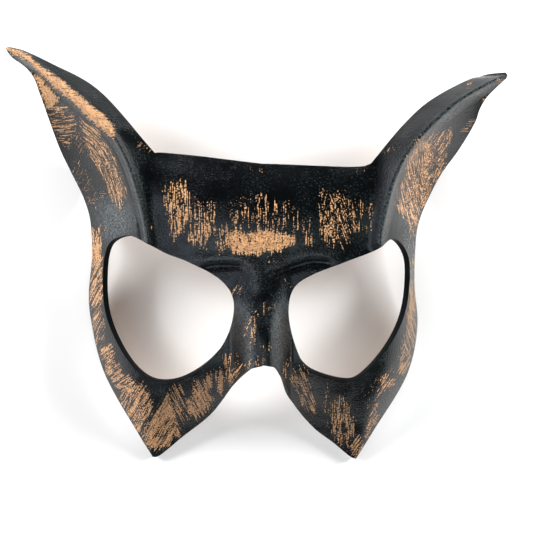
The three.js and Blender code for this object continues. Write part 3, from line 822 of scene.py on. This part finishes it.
def vectors(tree, operation, a, b, c=(0.0, 0.0, 0.0)):
    """The result of a Vector Math node."""
    return add_node(tree, "ShaderNodeVectorMath", {0: a, 1: b, 2: c}, operation=operation).outputs[0]


def ramp(tree, value, start, end, low=0.0, high=1.0):
    """A value taken from start..end to low..high along an S-curve."""
    inputs = {"Value": value, "From Min": start, "From Max": end, "To Min": low, "To Max": high}
    return add_node(tree, "ShaderNodeMapRange", inputs, interpolation_type="SMOOTHSTEP").outputs["Result"]


def noise(tree, place, scale, detail=2.0, roughness=0.5, output="Fac"):
    """A Noise Texture, with its scale in cells per millimetre where place is in millimetres."""
    inputs = {"Vector": place, "Scale": scale, "Detail": detail, "Roughness": roughness}
    return add_node(tree, "ShaderNodeTexNoise", inputs).outputs[output]


def blend(tree, share, a, b):
    """Colour a, turning to colour b by a share."""
    return add_node(tree, "ShaderNodeMix", {0: share, 6: a, 7: b}, data_type="RGBA").outputs[2]


def blend_value(tree, share, a, b):
    """Value a, turning to value b by a share."""
    return add_node(tree, "ShaderNodeMix", {0: share, 2: a, 3: b}).outputs[0]


def new_group(name, inputs, outputs):
    """A shader node group with these sockets: its tree, the sockets that come in and the node that puts
    out."""
    tree = bpy.data.node_groups.new(name, "ShaderNodeTree")
    kinds = {float: "NodeSocketFloat", tuple: "NodeSocketVector"}
    for socket, default in inputs.items():
        made = tree.interface.new_socket(socket, in_out="INPUT", socket_type=kinds[type(default)])
        made.default_value = default
    for socket in outputs:
        tree.interface.new_socket(socket, in_out="OUTPUT", socket_type="NodeSocketFloat")
    return tree, add_node(tree, "NodeGroupInput").outputs, add_node(tree, "NodeGroupOutput")


def place_group(tree, group, inputs):
    """A node group placed in a material."""
    return add_node(tree, "ShaderNodeGroup", inputs, node_tree=group).outputs


# Finishes. A scale is in cells per millimetre, a pair is where a ramp starts and ends, and a colour is red,
# green, blue and 1.

GRAIN = {
    "bend_scale": 0.77,
    "bend": 0.5,
    "groove": 0.28,
    "pore_scale": 1.15,
    "patch_scale": 0.11,
    "strong": (0.35, 0.65),
    "weakest": 0.35,
    "pore_height": 0.7,
    "pebble_height": 0.5,
    "rubbed_pores": (0.55, 0.72),
    "rubbed_patches": (0.2, 0.7),
}
BRUSH = {
    "bristles": 0.4,
    "tufts": 0.26,
    "grain": 0.34,
    "bristle_scale": 1.0,
    "tuft_scale": 0.3,
    "reach_down": 1000.0,
    "mean": 0.525,
    "spread": 0.05,
    "bell_to_logit": 1.7,
    "least": 0.004,
    "border": (-0.012, 0.018),
    "touched": (0.004, 0.03),
}
LEATHER = {
    "cell": 1.3,
    "cloud_scale": 0.045,
    "thin_dye": (0.4, 0.65),
    "rubbed": 0.13,
    "rubbed_colour": (0.14, 0.18, 0.205, 1),
    # Grey of painted highlight and painted sheen, partly real worn leather: the share of the highlight, the
    # pores it lies on, and its colour
    "wear_and_highlight": 0.5,
    "worn_and_highlight_pores": (0.35, 0.65),
    "worn_and_highlight_grey": (0.09, 0.106, 0.11, 1),
    "roughness_range": 0.2,
    "bump": 0.22,
    "bump_strength": 0.85,
    "shine": 0.42,
}
PAINT = {
    "shade_scale": 0.35,
    "shades": (0.35, 0.65),
    "pit_pores": (0.57, 0.41),
    "pits": 0.7,
    "pit_colour": (0.2, 0.085, 0.03, 1),
    "wiped": 0.65,
    "wiped_colour": (0.15, 0.1, 0.055, 1),
    "rougher": 0.22,
    "height": 0.6,
}
EDGE = {
    "cell": 0.5,
    "patch_scale": 0.16,
    "bare_patches": (0.52, 0.6),
    "bare_depth": (0.55, 0.9),
    "roughness": 0.4,
    "roughness_range": 0.3,
    "bump": 0.1,
    "bump_strength": 0.5,
    "shine": 0.15,
}
FLESH = {
    "cell": 1.4,
    "cloud_scale": 0.05,
    "handled": (0.35, 0.7),
    "nap_scale": 1.6,
    "nap": 0.35,
    "nap_colour": (0.52, 0.36, 0.22, 1),
    "creep_scale": 0.28,
    "creep": 5.0,
    "creep_least": -1.3,
    "creep_border": (0.6, -0.4),
    "roughness": 0.75,
    "roughness_range": 0.15,
    "nap_height": 0.8,
    "bump": 0.2,
    "bump_strength": 0.6,
    "shine": 0.5,
}
FLOOR = {"half_side": 3, "cloud_scale": 3.0, "darker": 0.985, "roughness": 0.85, "shine": 0.2}


def leather_grain_group():
    """Pebbled grain: the cells of a Voronoi texture, bent by a noise and stronger in some patches, with
    finer pores. Puts out a height from 0 to about 1, the pores alone and the share of worn, rubbed
    spots."""
    inputs = {"Place": (0.0, 0.0, 0.0), "Cell": 0.9}
    tree, given, out = new_group("Leather grain", inputs, ["Height", "Pores", "Rubbed"])
    place = given["Place"]
    scale = calculate(tree, "DIVIDE", 1.0, given["Cell"])
    warp = noise(tree, place, GRAIN["bend_scale"], output="Color")
    bent = {"Vector": vectors(tree, "MULTIPLY_ADD", warp, (GRAIN["bend"],) * 3, place), "Scale": scale}
    cells = add_node(tree, "ShaderNodeTexVoronoi", bent, feature="DISTANCE_TO_EDGE")
    pebble = ramp(tree, cells.outputs["Distance"], 0.0, GRAIN["groove"])
    pores = noise(tree, place, GRAIN["pore_scale"], detail=1.5, roughness=0.6)
    patches = noise(tree, place, GRAIN["patch_scale"], detail=3.0)
    grain = times(tree, pebble, ramp(tree, patches, *GRAIN["strong"], GRAIN["weakest"], 1.0))
    height = times_plus(tree, pores, GRAIN["pore_height"], times(tree, grain, GRAIN["pebble_height"]))
    rubbed_pores = ramp(tree, pores, *GRAIN["rubbed_pores"])
    rubbed = times(tree, rubbed_pores, ramp(tree, patches, *GRAIN["rubbed_patches"]))
    set_inputs(tree, out, {"Height": height, "Pores": pores, "Rubbed": rubbed})
    return tree


def dry_brush_group():
    """Streaks of a nearly dry brush. Place is turned so that the strokes run along x and squeezed to their
    length and width; two sizes of bristle marks and the leather's own grain are added up, and paint sits
    where the sum is over a bar. The bar is the sum's mean plus its spread times ln((1 - amount) / amount) /
    1.7, so that the amount is the share of the leather that the paint covers."""
    inputs = {
        "Place": (0.0, 0.0, 0.0), "Turn": 0.0, "Length": 7.0, "Width": 0.55, "Amount": 0.0, "Grain": 0.5,
    }
    tree, given, out = new_group("Dry brush", inputs, ["Paint"])
    turn = {"Vector": given["Place"], "Angle": times(tree, given["Turn"], -1.0)}
    turned = add_node(tree, "ShaderNodeVectorRotate", turn, rotation_type="Z_AXIS").outputs[0]
    mark = {0: given["Length"], 1: given["Width"], 2: BRUSH["reach_down"]}
    squeezed = vectors(tree, "DIVIDE", turned, add_node(tree, "ShaderNodeCombineXYZ", mark).outputs[0])
    bristles = noise(tree, squeezed, BRUSH["bristle_scale"], detail=0.6)
    tufts = noise(tree, squeezed, BRUSH["tuft_scale"], detail=1.0)
    streaks = times_plus(tree, bristles, BRUSH["bristles"], times(tree, tufts, BRUSH["tufts"]))
    marks = times_plus(tree, given["Grain"], BRUSH["grain"], streaks)
    share = calculate(tree, "MAXIMUM", given["Amount"], BRUSH["least"])
    share = calculate(tree, "MINIMUM", share, 1 - BRUSH["least"])
    odds = calculate(tree, "DIVIDE", calculate(tree, "SUBTRACT", 1.0, share), share)
    logit = calculate(tree, "LOGARITHM", odds, math.e)
    bar = times_plus(tree, logit, BRUSH["spread"] / BRUSH["bell_to_logit"], BRUSH["mean"])
    paint = ramp(tree, calculate(tree, "SUBTRACT", marks, bar), *BRUSH["border"])
    touched = ramp(tree, given["Amount"], *BRUSH["touched"])
    set_inputs(tree, out, {"Paint": times(tree, paint, touched)})
    return tree


def millimetres(tree):
    """Object coordinates in millimetres, as measured from the middle of the mask."""
    place = add_node(tree, "ShaderNodeTexCoord").outputs["Object"]
    return add_node(tree, "ShaderNodeVectorMath", {0: place, "Scale": 1 / MM}, operation="SCALE").outputs[0]


def attribute(tree, name, output="Fac"):
    """A value stored on the mesh."""
    return add_node(tree, "ShaderNodeAttribute", attribute_name=name).outputs[output]


def new_material(name):
    """A material with only a Principled BSDF and its output."""
    material = bpy.data.materials.new(name)
    material.use_nodes = True
    return material, material.node_tree, material.node_tree.nodes["Principled BSDF"]


def finish_material(tree, shader, colour, roughness, height, values):
    """Joins colour and roughness to the shader and a height in millimetres to its normal, and sets its
    shine."""
    bump = {"Strength": values["bump_strength"], "Distance": values["bump"] * MM, "Height": height}
    normal = add_node(tree, "ShaderNodeBump", bump).outputs["Normal"]
    shine = {"Specular IOR Level": values["shine"]}
    set_inputs(tree, shader, {"Base Color": colour, "Roughness": roughness, "Normal": normal, **shine})


def painted_leather(finish, grain_group, brush_group):
    """The face: black dyed leather with a fine grain and rubbed spots, grey on the brows and the beads of
    the ears that is partly real worn leather and partly painted highlight, painted highlight down the sides
    of the nose, painted grey sheen low on the ears, and orange paint dry-brushed over it in eight kinds of
    stroke."""
    material, tree, shader = new_material("Painted leather")
    place = millimetres(tree)
    fold_place = attribute(tree, "fold_place", "Vector")
    grain = place_group(tree, grain_group, {"Place": place, "Cell": LEATHER["cell"]})
    paint = None
    for kind, (angle, _, length, width, _) in STROKES.items():
        inputs = {
            "Place": fold_place if kind in FOLLOW_FOLD else place,
            "Turn": math.radians(angle),
            "Length": length,
            "Width": finish.bristle_width * width,
            "Amount": attribute(tree, f"strokes_{kind}"),
            "Grain": grain["Pores"],
        }
        streaks = place_group(tree, brush_group, inputs)["Paint"]
        paint = streaks if paint is None else calculate(tree, "MAXIMUM", paint, streaks)

    clouds = noise(tree, place, LEATHER["cloud_scale"], detail=3.0)
    dye = blend(tree, ramp(tree, clouds, *LEATHER["thin_dye"]), (*finish.dye, 1), (*finish.dye_warm, 1))
    dye = blend(tree, times(tree, grain["Rubbed"], LEATHER["rubbed"]), dye, LEATHER["rubbed_colour"])
    # Grey on the brows and ear beads is partly real worn leather and partly painted highlight, down the
    # nose sides it is painted highlight, and low on the ears painted sheen; it lies on the pores and is
    # mixed into the dye
    grey = times_plus(tree, attribute(tree, "wear_and_highlight"), LEATHER["wear_and_highlight"], attribute(tree, "painted_sheen"))
    grey = times(tree, grey, ramp(tree, grain["Pores"], *LEATHER["worn_and_highlight_pores"]))
    dye = blend(tree, grey, dye, LEATHER["worn_and_highlight_grey"])

    shades = ramp(tree, noise(tree, place, PAINT["shade_scale"], detail=3.0), *PAINT["shades"])
    orange = blend(tree, shades, (*finish.paint_dark, 1), (*finish.paint, 1))
    pits = times(tree, ramp(tree, grain["Pores"], *PAINT["pit_pores"]), PAINT["pits"])
    orange = blend(tree, pits, orange, PAINT["pit_colour"])
    wiped = times(tree, attribute(tree, "wiped_thin"), PAINT["wiped"])
    orange = blend(tree, wiped, orange, PAINT["wiped_colour"])

    smoothest = finish.leather_roughness - 0.5 * LEATHER["roughness_range"]
    roughness = times_plus(tree, clouds, LEATHER["roughness_range"], smoothest)
    roughness = times_plus(tree, paint, PAINT["rougher"], roughness)
    height = times_plus(tree, paint, PAINT["height"], grain["Height"])
    finish_material(tree, shader, blend(tree, paint, dye, orange), roughness, height, LEATHER)
    return material


def cut_edge(finish, grain_group):
    """The cut edge: dyed black and burnished, with tan leather showing here and there towards the
    inside."""
    material, tree, shader = new_material("Cut edge")
    place = millimetres(tree)
    grain = place_group(tree, grain_group, {"Place": place, "Cell": EDGE["cell"]})
    patches = noise(tree, place, EDGE["patch_scale"], detail=4.0)
    depth = ramp(tree, attribute(tree, "through"), *EDGE["bare_depth"])
    bare = times(tree, ramp(tree, patches, *EDGE["bare_patches"]), depth)
    colour = blend(tree, bare, (*finish.edge, 1), (*finish.flesh_dark, 1))
    roughness = times_plus(tree, patches, EDGE["roughness_range"], EDGE["roughness"])
    finish_material(tree, shader, colour, roughness, grain["Height"], EDGE)
    return material


def flesh_side(finish, grain_group):
    """The inside: undyed tan leather with a short nap, darker where it was handled, and black dye that has
    crept in over its edge."""
    material, tree, shader = new_material("Flesh side")
    place = millimetres(tree)
    grain = place_group(tree, grain_group, {"Place": place, "Cell": FLESH["cell"]})
    clouds = noise(tree, place, FLESH["cloud_scale"], detail=4.0, roughness=0.6)
    nap = noise(tree, place, FLESH["nap_scale"], detail=4.0, roughness=0.7)
    tan = blend(tree, ramp(tree, clouds, *FLESH["handled"]), (*finish.flesh, 1), (*finish.flesh_dark, 1))
    tan = blend(tree, times(tree, nap, FLESH["nap"]), tan, FLESH["nap_colour"])
    creep = noise(tree, place, FLESH["creep_scale"], detail=4.0)
    creep = times_plus(tree, creep, FLESH["creep"], FLESH["creep_least"])
    gap = calculate(tree, "SUBTRACT", attribute(tree, "rim_gap"), creep)
    colour = blend(tree, ramp(tree, gap, *FLESH["creep_border"]), tan, (*finish.edge, 1))
    roughness = times_plus(tree, nap, FLESH["roughness_range"], FLESH["roughness"])
    height = times_plus(tree, nap, FLESH["nap_height"], grain["Height"])
    finish_material(tree, shader, colour, roughness, height, FLESH)
    return material


def plain_floor(stage):
    """White card: even, with a trace of texture."""
    material, tree, shader = new_material("Floor card")
    place = add_node(tree, "ShaderNodeTexCoord").outputs["Object"]
    clouds = noise(tree, place, FLOOR["cloud_scale"], detail=3.0)
    darker = [FLOOR["darker"] * part for part in stage.floor_colour]
    colour = blend(tree, clouds, (*stage.floor_colour, 1), (*darker, 1))
    finish = {"Base Color": colour, "Roughness": FLOOR["roughness"], "Specular IOR Level": FLOOR["shine"]}
    set_inputs(tree, shader, finish)
    return material


# Meshes

MATERIAL = {"face": 0, "edge": 1, "inside": 2}


def new_mesh_object(name, points, faces):
    """An object at the origin with a mesh of these points, in metres, and four-sided faces."""
    mesh = bpy.data.meshes.new(name)
    mesh.vertices.add(len(points))
    mesh.vertices.foreach_set("co", points.astype(np.float32).ravel())
    mesh.loops.add(faces.size)
    mesh.loops.foreach_set("vertex_index", faces.astype(np.int32).ravel())
    mesh.polygons.add(len(faces))
    mesh.polygons.foreach_set("loop_start", np.arange(0, faces.size, 4, dtype=np.int32))
    mesh.polygons.foreach_set("use_smooth", np.ones(len(faces), bool))
    mesh.update(calc_edges=True)
    mesh.validate()
    made = bpy.data.objects.new(name, mesh)
    bpy.context.scene.collection.objects.link(made)
    return made


def store(mesh, name, values):
    """Keeps a value, or a vector, for each vertex."""
    kind, key = ("FLOAT", "value") if values.ndim == 1 else ("FLOAT_VECTOR", "vector")
    mesh.attributes.new(name, kind, "POINT").data.foreach_set(key, values.astype(np.float32).ravel())


def make_mask(shape):
    """The mask's mesh: the face, the face inside with its faces turned over, and the rows round the cut
    edge."""
    plan, faces = plan_of_mask()
    rim, after, before, shortest = rim_of(plan, faces)
    radius = np.minimum(shape.edge_rounding / MM, ROUNDED_SHARE * shortest)
    out, rows = rim_rows(plan, rim, after, before, radius, shape)
    gap = distance_to_rim(plan, plan[rim])
    plan[rim] -= radius[:, None] * out

    x, y = plan.T
    face = np.column_stack([x, y, outer_height(x, y, shape)])
    inside = inner_point(x, y, shape)
    count, rim_count = len(plan), len(rim)
    points = np.concatenate([face, inside, rows.reshape(-1, 3)])

    place_in_rim = np.full(count, -1)
    place_in_rim[rim] = np.arange(rim_count)
    first = 2 * count + rim_count * np.arange(len(rows))[:, None] + np.arange(rim_count)
    lines = np.concatenate([rim[None], first, rim[None] + count])
    following = lines[:, place_in_rim[after]]
    wall = np.stack([following[:-1], lines[:-1], lines[1:], following[1:]], axis=-1).reshape(-1, 4)
    all_faces = np.concatenate([faces, faces[:, ::-1] + count, wall])

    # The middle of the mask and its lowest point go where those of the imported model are
    middle = (points.min(axis=0) + points.max(axis=0)) / 2
    lowest, highest = (np.array(corner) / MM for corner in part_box(NODE))
    shift = np.array([*((lowest + highest) / 2 - middle)[:2], lowest[2] - points[:, 2].min()])
    made = new_mesh_object("moulded_leather", (points + shift) * MM, all_faces)

    x, y = points[:, :2].T
    share = np.linspace(0, 1, len(rows) + 2)[1:-1]
    through = np.concatenate([np.zeros(count), np.ones(count), np.repeat(share, rim_count)])
    across, along = by_half(x, y, from_fold)
    stored = {
        "through": through,
        "rim_gap": np.concatenate([gap, gap, np.zeros(rim_count * len(rows))]),
        "fold_place": np.column_stack([along, across, np.zeros(len(points))]),
        # Partly real worn leather and partly painted highlight on the brows and ear beads, painted
        # highlight down the sides of the nose
        "wear_and_highlight": wear_and_highlight(x, y),
    }
    for name, amount in strokes_and_painted_sheen(seen_from_above(points)).items():
        stored[name] = amount * (through < PAINTED_DEPTH)
    for name, values in stored.items():
        store(made.data, name, values)
    parts = [MATERIAL[name] for name in ("face", "inside", "edge")]
    materials = np.repeat(parts, [len(faces), len(faces), len(wall)])
    made.data.polygons.foreach_set("material_index", materials.astype(np.int32))
    return made


# The stage: the soft lights, each with its azimuth and elevation in degrees and its share of the power, and
# the room. The room's ramps run over the parts of a direction along X, Y and Z.

SOFT_LIGHTS = [("left", 156, 28, 0.83), ("right", 22, 23, 1.15), ("far", 88, 36, 0.11)]
ROOM = {
    "near_to_far": (-0.5, 0.4),
    "corners": (0.25, 0.42),
    "side_glow": (0.84, 0.97),
    "right_glow": 0.5,
    "ceiling_lean": 0.5,
    "ceiling": (-0.42, 0.02),
    "right_to_left": (-0.2, -0.8),
    "right_top": 0.35,
    "ceiling_to_top": (0.8, 0.5),
    "top_to_walls": (0.34, 0.06),
    "tint": (-0.5, 0.5),
}
TINT = {"left": (0.92, 1.03, 1.2, 1), "right": (0.74, 1, 0.99, 1), "matt": (1, 1.01, 1.02, 1)}
PLAN_ORIGIN = (5.01, -4.62)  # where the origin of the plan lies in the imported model's frame
SENSOR_WIDTH = 36

# Settings, operators and panel


class MaskShape(bpy.types.PropertyGroup):
    leather: bpy.props.FloatProperty(
        name="Leather", description="Thickness of the leather", default=3 * MM, unit="LENGTH", min=MM,
    )
    edge_rounding: bpy.props.FloatProperty(
        name="Edge rounding", description="Radius of the corners of the cut edge", default=0.7 * MM,
        unit="LENGTH",
    )
    bead_height: bpy.props.FloatProperty(
        name="Bead", description="Height of the rolled bead on the fold of each ear", default=2.2 * MM,
        unit="LENGTH",
    )
    unevenness: bpy.props.FloatProperty(
        name="Unevenness", description="Height of the waves that shaping by hand left", default=0.12 * MM,
        unit="LENGTH",
    )


class MaskFinish(bpy.types.PropertyGroup):
    dye: bpy.props.FloatVectorProperty(
        name="Dye", description="Colour of the dyed leather", subtype="COLOR", size=3,
        default=(0.0009, 0.0012, 0.0014),
    )
    dye_warm: bpy.props.FloatVectorProperty(
        name="Thin dye", description="Colour where the dye is thin", subtype="COLOR", size=3,
        default=(0.002, 0.0021, 0.0023),
    )
    paint: bpy.props.FloatVectorProperty(
        name="Paint", description="Colour of the dry-brushed paint", subtype="COLOR", size=3,
        default=(0.69, 0.375, 0.178),
    )
    paint_dark: bpy.props.FloatVectorProperty(
        name="Thin paint", description="Colour of the paint where it is thin", subtype="COLOR", size=3,
        default=(0.5, 0.285, 0.14),
    )
    edge: bpy.props.FloatVectorProperty(
        name="Edge", description="Colour of the burnished cut edge", subtype="COLOR", size=3,
        default=(0.003, 0.0035, 0.004),
    )
    flesh: bpy.props.FloatVectorProperty(
        name="Inside", description="Colour of the undyed inside", subtype="COLOR", size=3,
        default=(0.46, 0.3, 0.18),
    )
    flesh_dark: bpy.props.FloatVectorProperty(
        name="Handled inside", description="Colour of the inside where it was handled", subtype="COLOR",
        size=3, default=(0.27, 0.145, 0.075),
    )
    leather_roughness: bpy.props.FloatProperty(
        name="Leather roughness", description="Mean roughness of the dyed leather", default=0.2, min=0,
        max=1, subtype="FACTOR",
    )
    bristle_width: bpy.props.FloatProperty(
        name="Bristle marks", description="Width of the marks of the dry brush, 1 as drawn", default=1,
        min=0.1,
    )


class StageSettings(bpy.types.PropertyGroup):
    camera_height: bpy.props.FloatProperty(
        name="Camera height", description="Height of the camera over the floor", default=CAMERA_HEIGHT * MM,
        unit="LENGTH",
    )
    lens: bpy.props.FloatProperty(
        name="Lens", description="Focal length on a sensor 36 mm wide", default=85.4, unit="CAMERA",
    )
    floor_colour: bpy.props.FloatVectorProperty(
        name="Floor", description="Colour of the floor", subtype="COLOR", size=3,
        default=(0.93, 0.93, 0.93),
    )
    light_power: bpy.props.FloatProperty(
        name="Light power", description="Power of the soft lights, before each one's share", default=19,
        unit="POWER",
    )
    light_size: bpy.props.FloatProperty(
        name="Light size", description="Side of each of the soft lights", default=0.45, unit="LENGTH",
    )
    light_distance: bpy.props.FloatProperty(
        name="Light distance", description="Distance of the soft lights from the mask", default=1.2,
        unit="LENGTH",
    )
    wall_far: bpy.props.FloatProperty(
        name="Far walls", description="Brightness of the room beyond the ears", default=2, min=0,
    )
    wall_near: bpy.props.FloatProperty(
        name="Near walls", description="Brightness of the room on the side of the cheeks", default=0.2,
        min=0,
    )
    glow: bpy.props.FloatProperty(
        name="Side walls", default=2.5, min=0,
        description="What is added to the walls to the left of the mask, and half to its right",
    )
    corners: bpy.props.FloatProperty(
        name="Corners", description="Share of the walls' brightness in the far corners of the room",
        default=0.1, min=0, subtype="FACTOR",
    )
    wall_top: bpy.props.FloatProperty(
        name="Top of the walls", description="Brightness of the room between the walls and the ceiling",
        default=0.4, min=0,
    )
    room_fill: bpy.props.FloatProperty(
        name="Room fill", description="Share of the room's light that falls on matt surfaces",
        default=0.84, min=0, subtype="FACTOR",
    )
    ceiling_far: bpy.props.FloatProperty(
        name="Far ceiling", description="Brightness of the ceiling over the ears", default=0.05, min=0,
    )
    ceiling_near: bpy.props.FloatProperty(
        name="Near ceiling", description="Brightness of the ceiling over the cheeks", default=1.6, min=0,
    )


class MASK_OT_leather(bpy.types.Operator):
    """Make the moulded leather sheet of the mask, painted on its face, with a cut edge and a bare inside"""

    bl_idname = "mask.leather"
    bl_label = "Mask"

    def execute(self, context):
        finish = context.scene.mask_finish
        made = make_mask(context.scene.mask_shape)
        grain, brush = leather_grain_group(), dry_brush_group()
        made.data.materials.append(painted_leather(finish, grain, brush))
        made.data.materials.append(cut_edge(finish, grain))
        made.data.materials.append(flesh_side(finish, grain))
        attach(made, "root")
        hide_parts(NODE)
        return {"FINISHED"}


def area_light(name, azimuth, elevation, distance, size, power):
    """A square soft light that looks at the middle of the mask from an azimuth and elevation in degrees. It
    lights the scene without being mirrored in the leather, as light that comes through a wide white screen
    does."""
    lamp = bpy.data.lights.new(name, "AREA")
    lamp.size, lamp.energy = size, power
    made = bpy.data.objects.new(name, lamp)
    around, up = math.radians(azimuth), math.radians(elevation)
    way = np.array([math.cos(up) * math.cos(around), math.cos(up) * math.sin(around), math.sin(up)])
    made.location = distance * way
    made.rotation_euler = (math.pi / 2 - up, 0, around + math.pi / 2)
    made.visible_glossy = False
    bpy.context.scene.collection.objects.link(made)


class STAGE_OT_studio(bpy.types.Operator):
    """Make the plain floor, the soft light and the camera straight above the mask"""

    bl_idname = "stage.studio"
    bl_label = "Stage"

    def execute(self, context):
        stage = context.scene.stage_settings
        corners = FLOOR["half_side"] * np.array([(-1, -1, 0), (1, -1, 0), (1, 1, 0), (-1, 1, 0)], float)
        floor = new_mesh_object("floor", corners, np.array([[0, 1, 2, 3]]))
        floor.data.materials.append(plain_floor(stage))
        self.make_sky(context, stage)
        for name, azimuth, elevation, share in SOFT_LIGHTS:
            power = share * stage.light_power
            area_light(name, azimuth, elevation, stage.light_distance, stage.light_size, power)
        self.make_camera(context, stage)
        context.scene.view_settings.view_transform = "Standard"
        return {"FINISHED"}

    @staticmethod
    def make_sky(context, stage):
        """Room light: walls that are brighter beyond the ears, dim in the far corners and glow at both
        sides, a dimmer band over them, and a ceiling that is dark except near the cheeks. Reflections see
        it in full and faintly tinted, and matt surfaces get a share of it."""
        world = bpy.data.worlds.new("Room")
        world.use_nodes = True
        tree = world.node_tree
        way = add_node(tree, "ShaderNodeTexCoord").outputs["Generated"]
        x, y, z = add_node(tree, "ShaderNodeSeparateXYZ", {0: way}).outputs

        walls = ramp(tree, y, *ROOM["near_to_far"], stage.wall_near, stage.wall_far)
        beside = times(tree, calculate(tree, "ABSOLUTE", x), y)
        walls = times(tree, walls, ramp(tree, beside, *ROOM["corners"], 1.0, stage.corners))
        start, end = ROOM["side_glow"]
        left = ramp(tree, x, -start, -end, 0, stage.glow)
        right = ramp(tree, x, start, end, 0, ROOM["right_glow"] * stage.glow)
        walls = calculate(tree, "ADD", walls, calculate(tree, "ADD", left, right))

        nearness = times_plus(tree, x, ROOM["ceiling_lean"], y)
        ceiling = ramp(tree, nearness, *ROOM["ceiling"], stage.ceiling_near, stage.ceiling_far)
        top = ramp(tree, x, *ROOM["right_to_left"], ROOM["right_top"] * stage.wall_top, stage.wall_top)
        level = blend_value(tree, ramp(tree, z, *ROOM["ceiling_to_top"]), ceiling, top)
        level = blend_value(tree, ramp(tree, z, *ROOM["top_to_walls"]), level, walls)

        mirrored = add_node(tree, "ShaderNodeLightPath").outputs["Is Glossy Ray"]
        tint = blend(tree, ramp(tree, x, *ROOM["tint"]), TINT["left"], TINT["right"])
        tint = blend(tree, mirrored, TINT["matt"], tint)
        strength = times(tree, level, blend_value(tree, mirrored, stage.room_fill, 1.0))
        set_inputs(tree, tree.nodes["Background"], {"Color": tint, "Strength": strength})
        context.scene.world = world

    @staticmethod
    def make_camera(context, stage):
        """A camera that looks straight down at the origin of the plan in which the mask was drawn."""
        data = bpy.data.cameras.new("camera")
        data.lens, data.sensor_width = stage.lens, SENSOR_WIDTH
        camera = bpy.data.objects.new("camera", data)
        camera.location = (PLAN_ORIGIN[0] * MM, PLAN_ORIGIN[1] * MM, stage.camera_height)
        context.scene.collection.objects.link(camera)
        context.scene.camera = camera


class VIEW3D_PT_cat_mask(bpy.types.Panel):
    """Lists the mask's parts and their settings"""

    bl_label = "Cat half mask"
    bl_space_type = "VIEW_3D"
    bl_region_type = "UI"
    bl_category = "Mask"

    def draw(self, context):
        for settings, operator in (
            (("mask_shape", "mask_finish"), MASK_OT_leather), (("stage_settings",), STAGE_OT_studio),
        ):
            box = self.layout.box()
            for name in settings:
                group = getattr(context.scene, name)
                for key in group.bl_rna.properties.keys():
                    if key not in ("rna_type", "name"):
                        box.prop(group, key)
            box.operator(operator.bl_idname)


CLASSES = (MaskShape, MaskFinish, StageSettings, MASK_OT_leather, STAGE_OT_studio, VIEW3D_PT_cat_mask)
SETTINGS = {"mask_shape": MaskShape, "mask_finish": MaskFinish, "stage_settings": StageSettings}


def register():
    for made in CLASSES:
        bpy.utils.register_class(made)
    for name, group in SETTINGS.items():
        setattr(bpy.types.Scene, name, bpy.props.PointerProperty(type=group))


def unregister():
    for name in SETTINGS:
        delattr(bpy.types.Scene, name)
    for made in reversed(CLASSES):
        bpy.utils.unregister_class(made)


def main():
    register()
    bpy.ops.mask.leather()
    bpy.ops.stage.studio()
    bpy.context.view_layer.update()


if __name__ == "__main__":
    main()
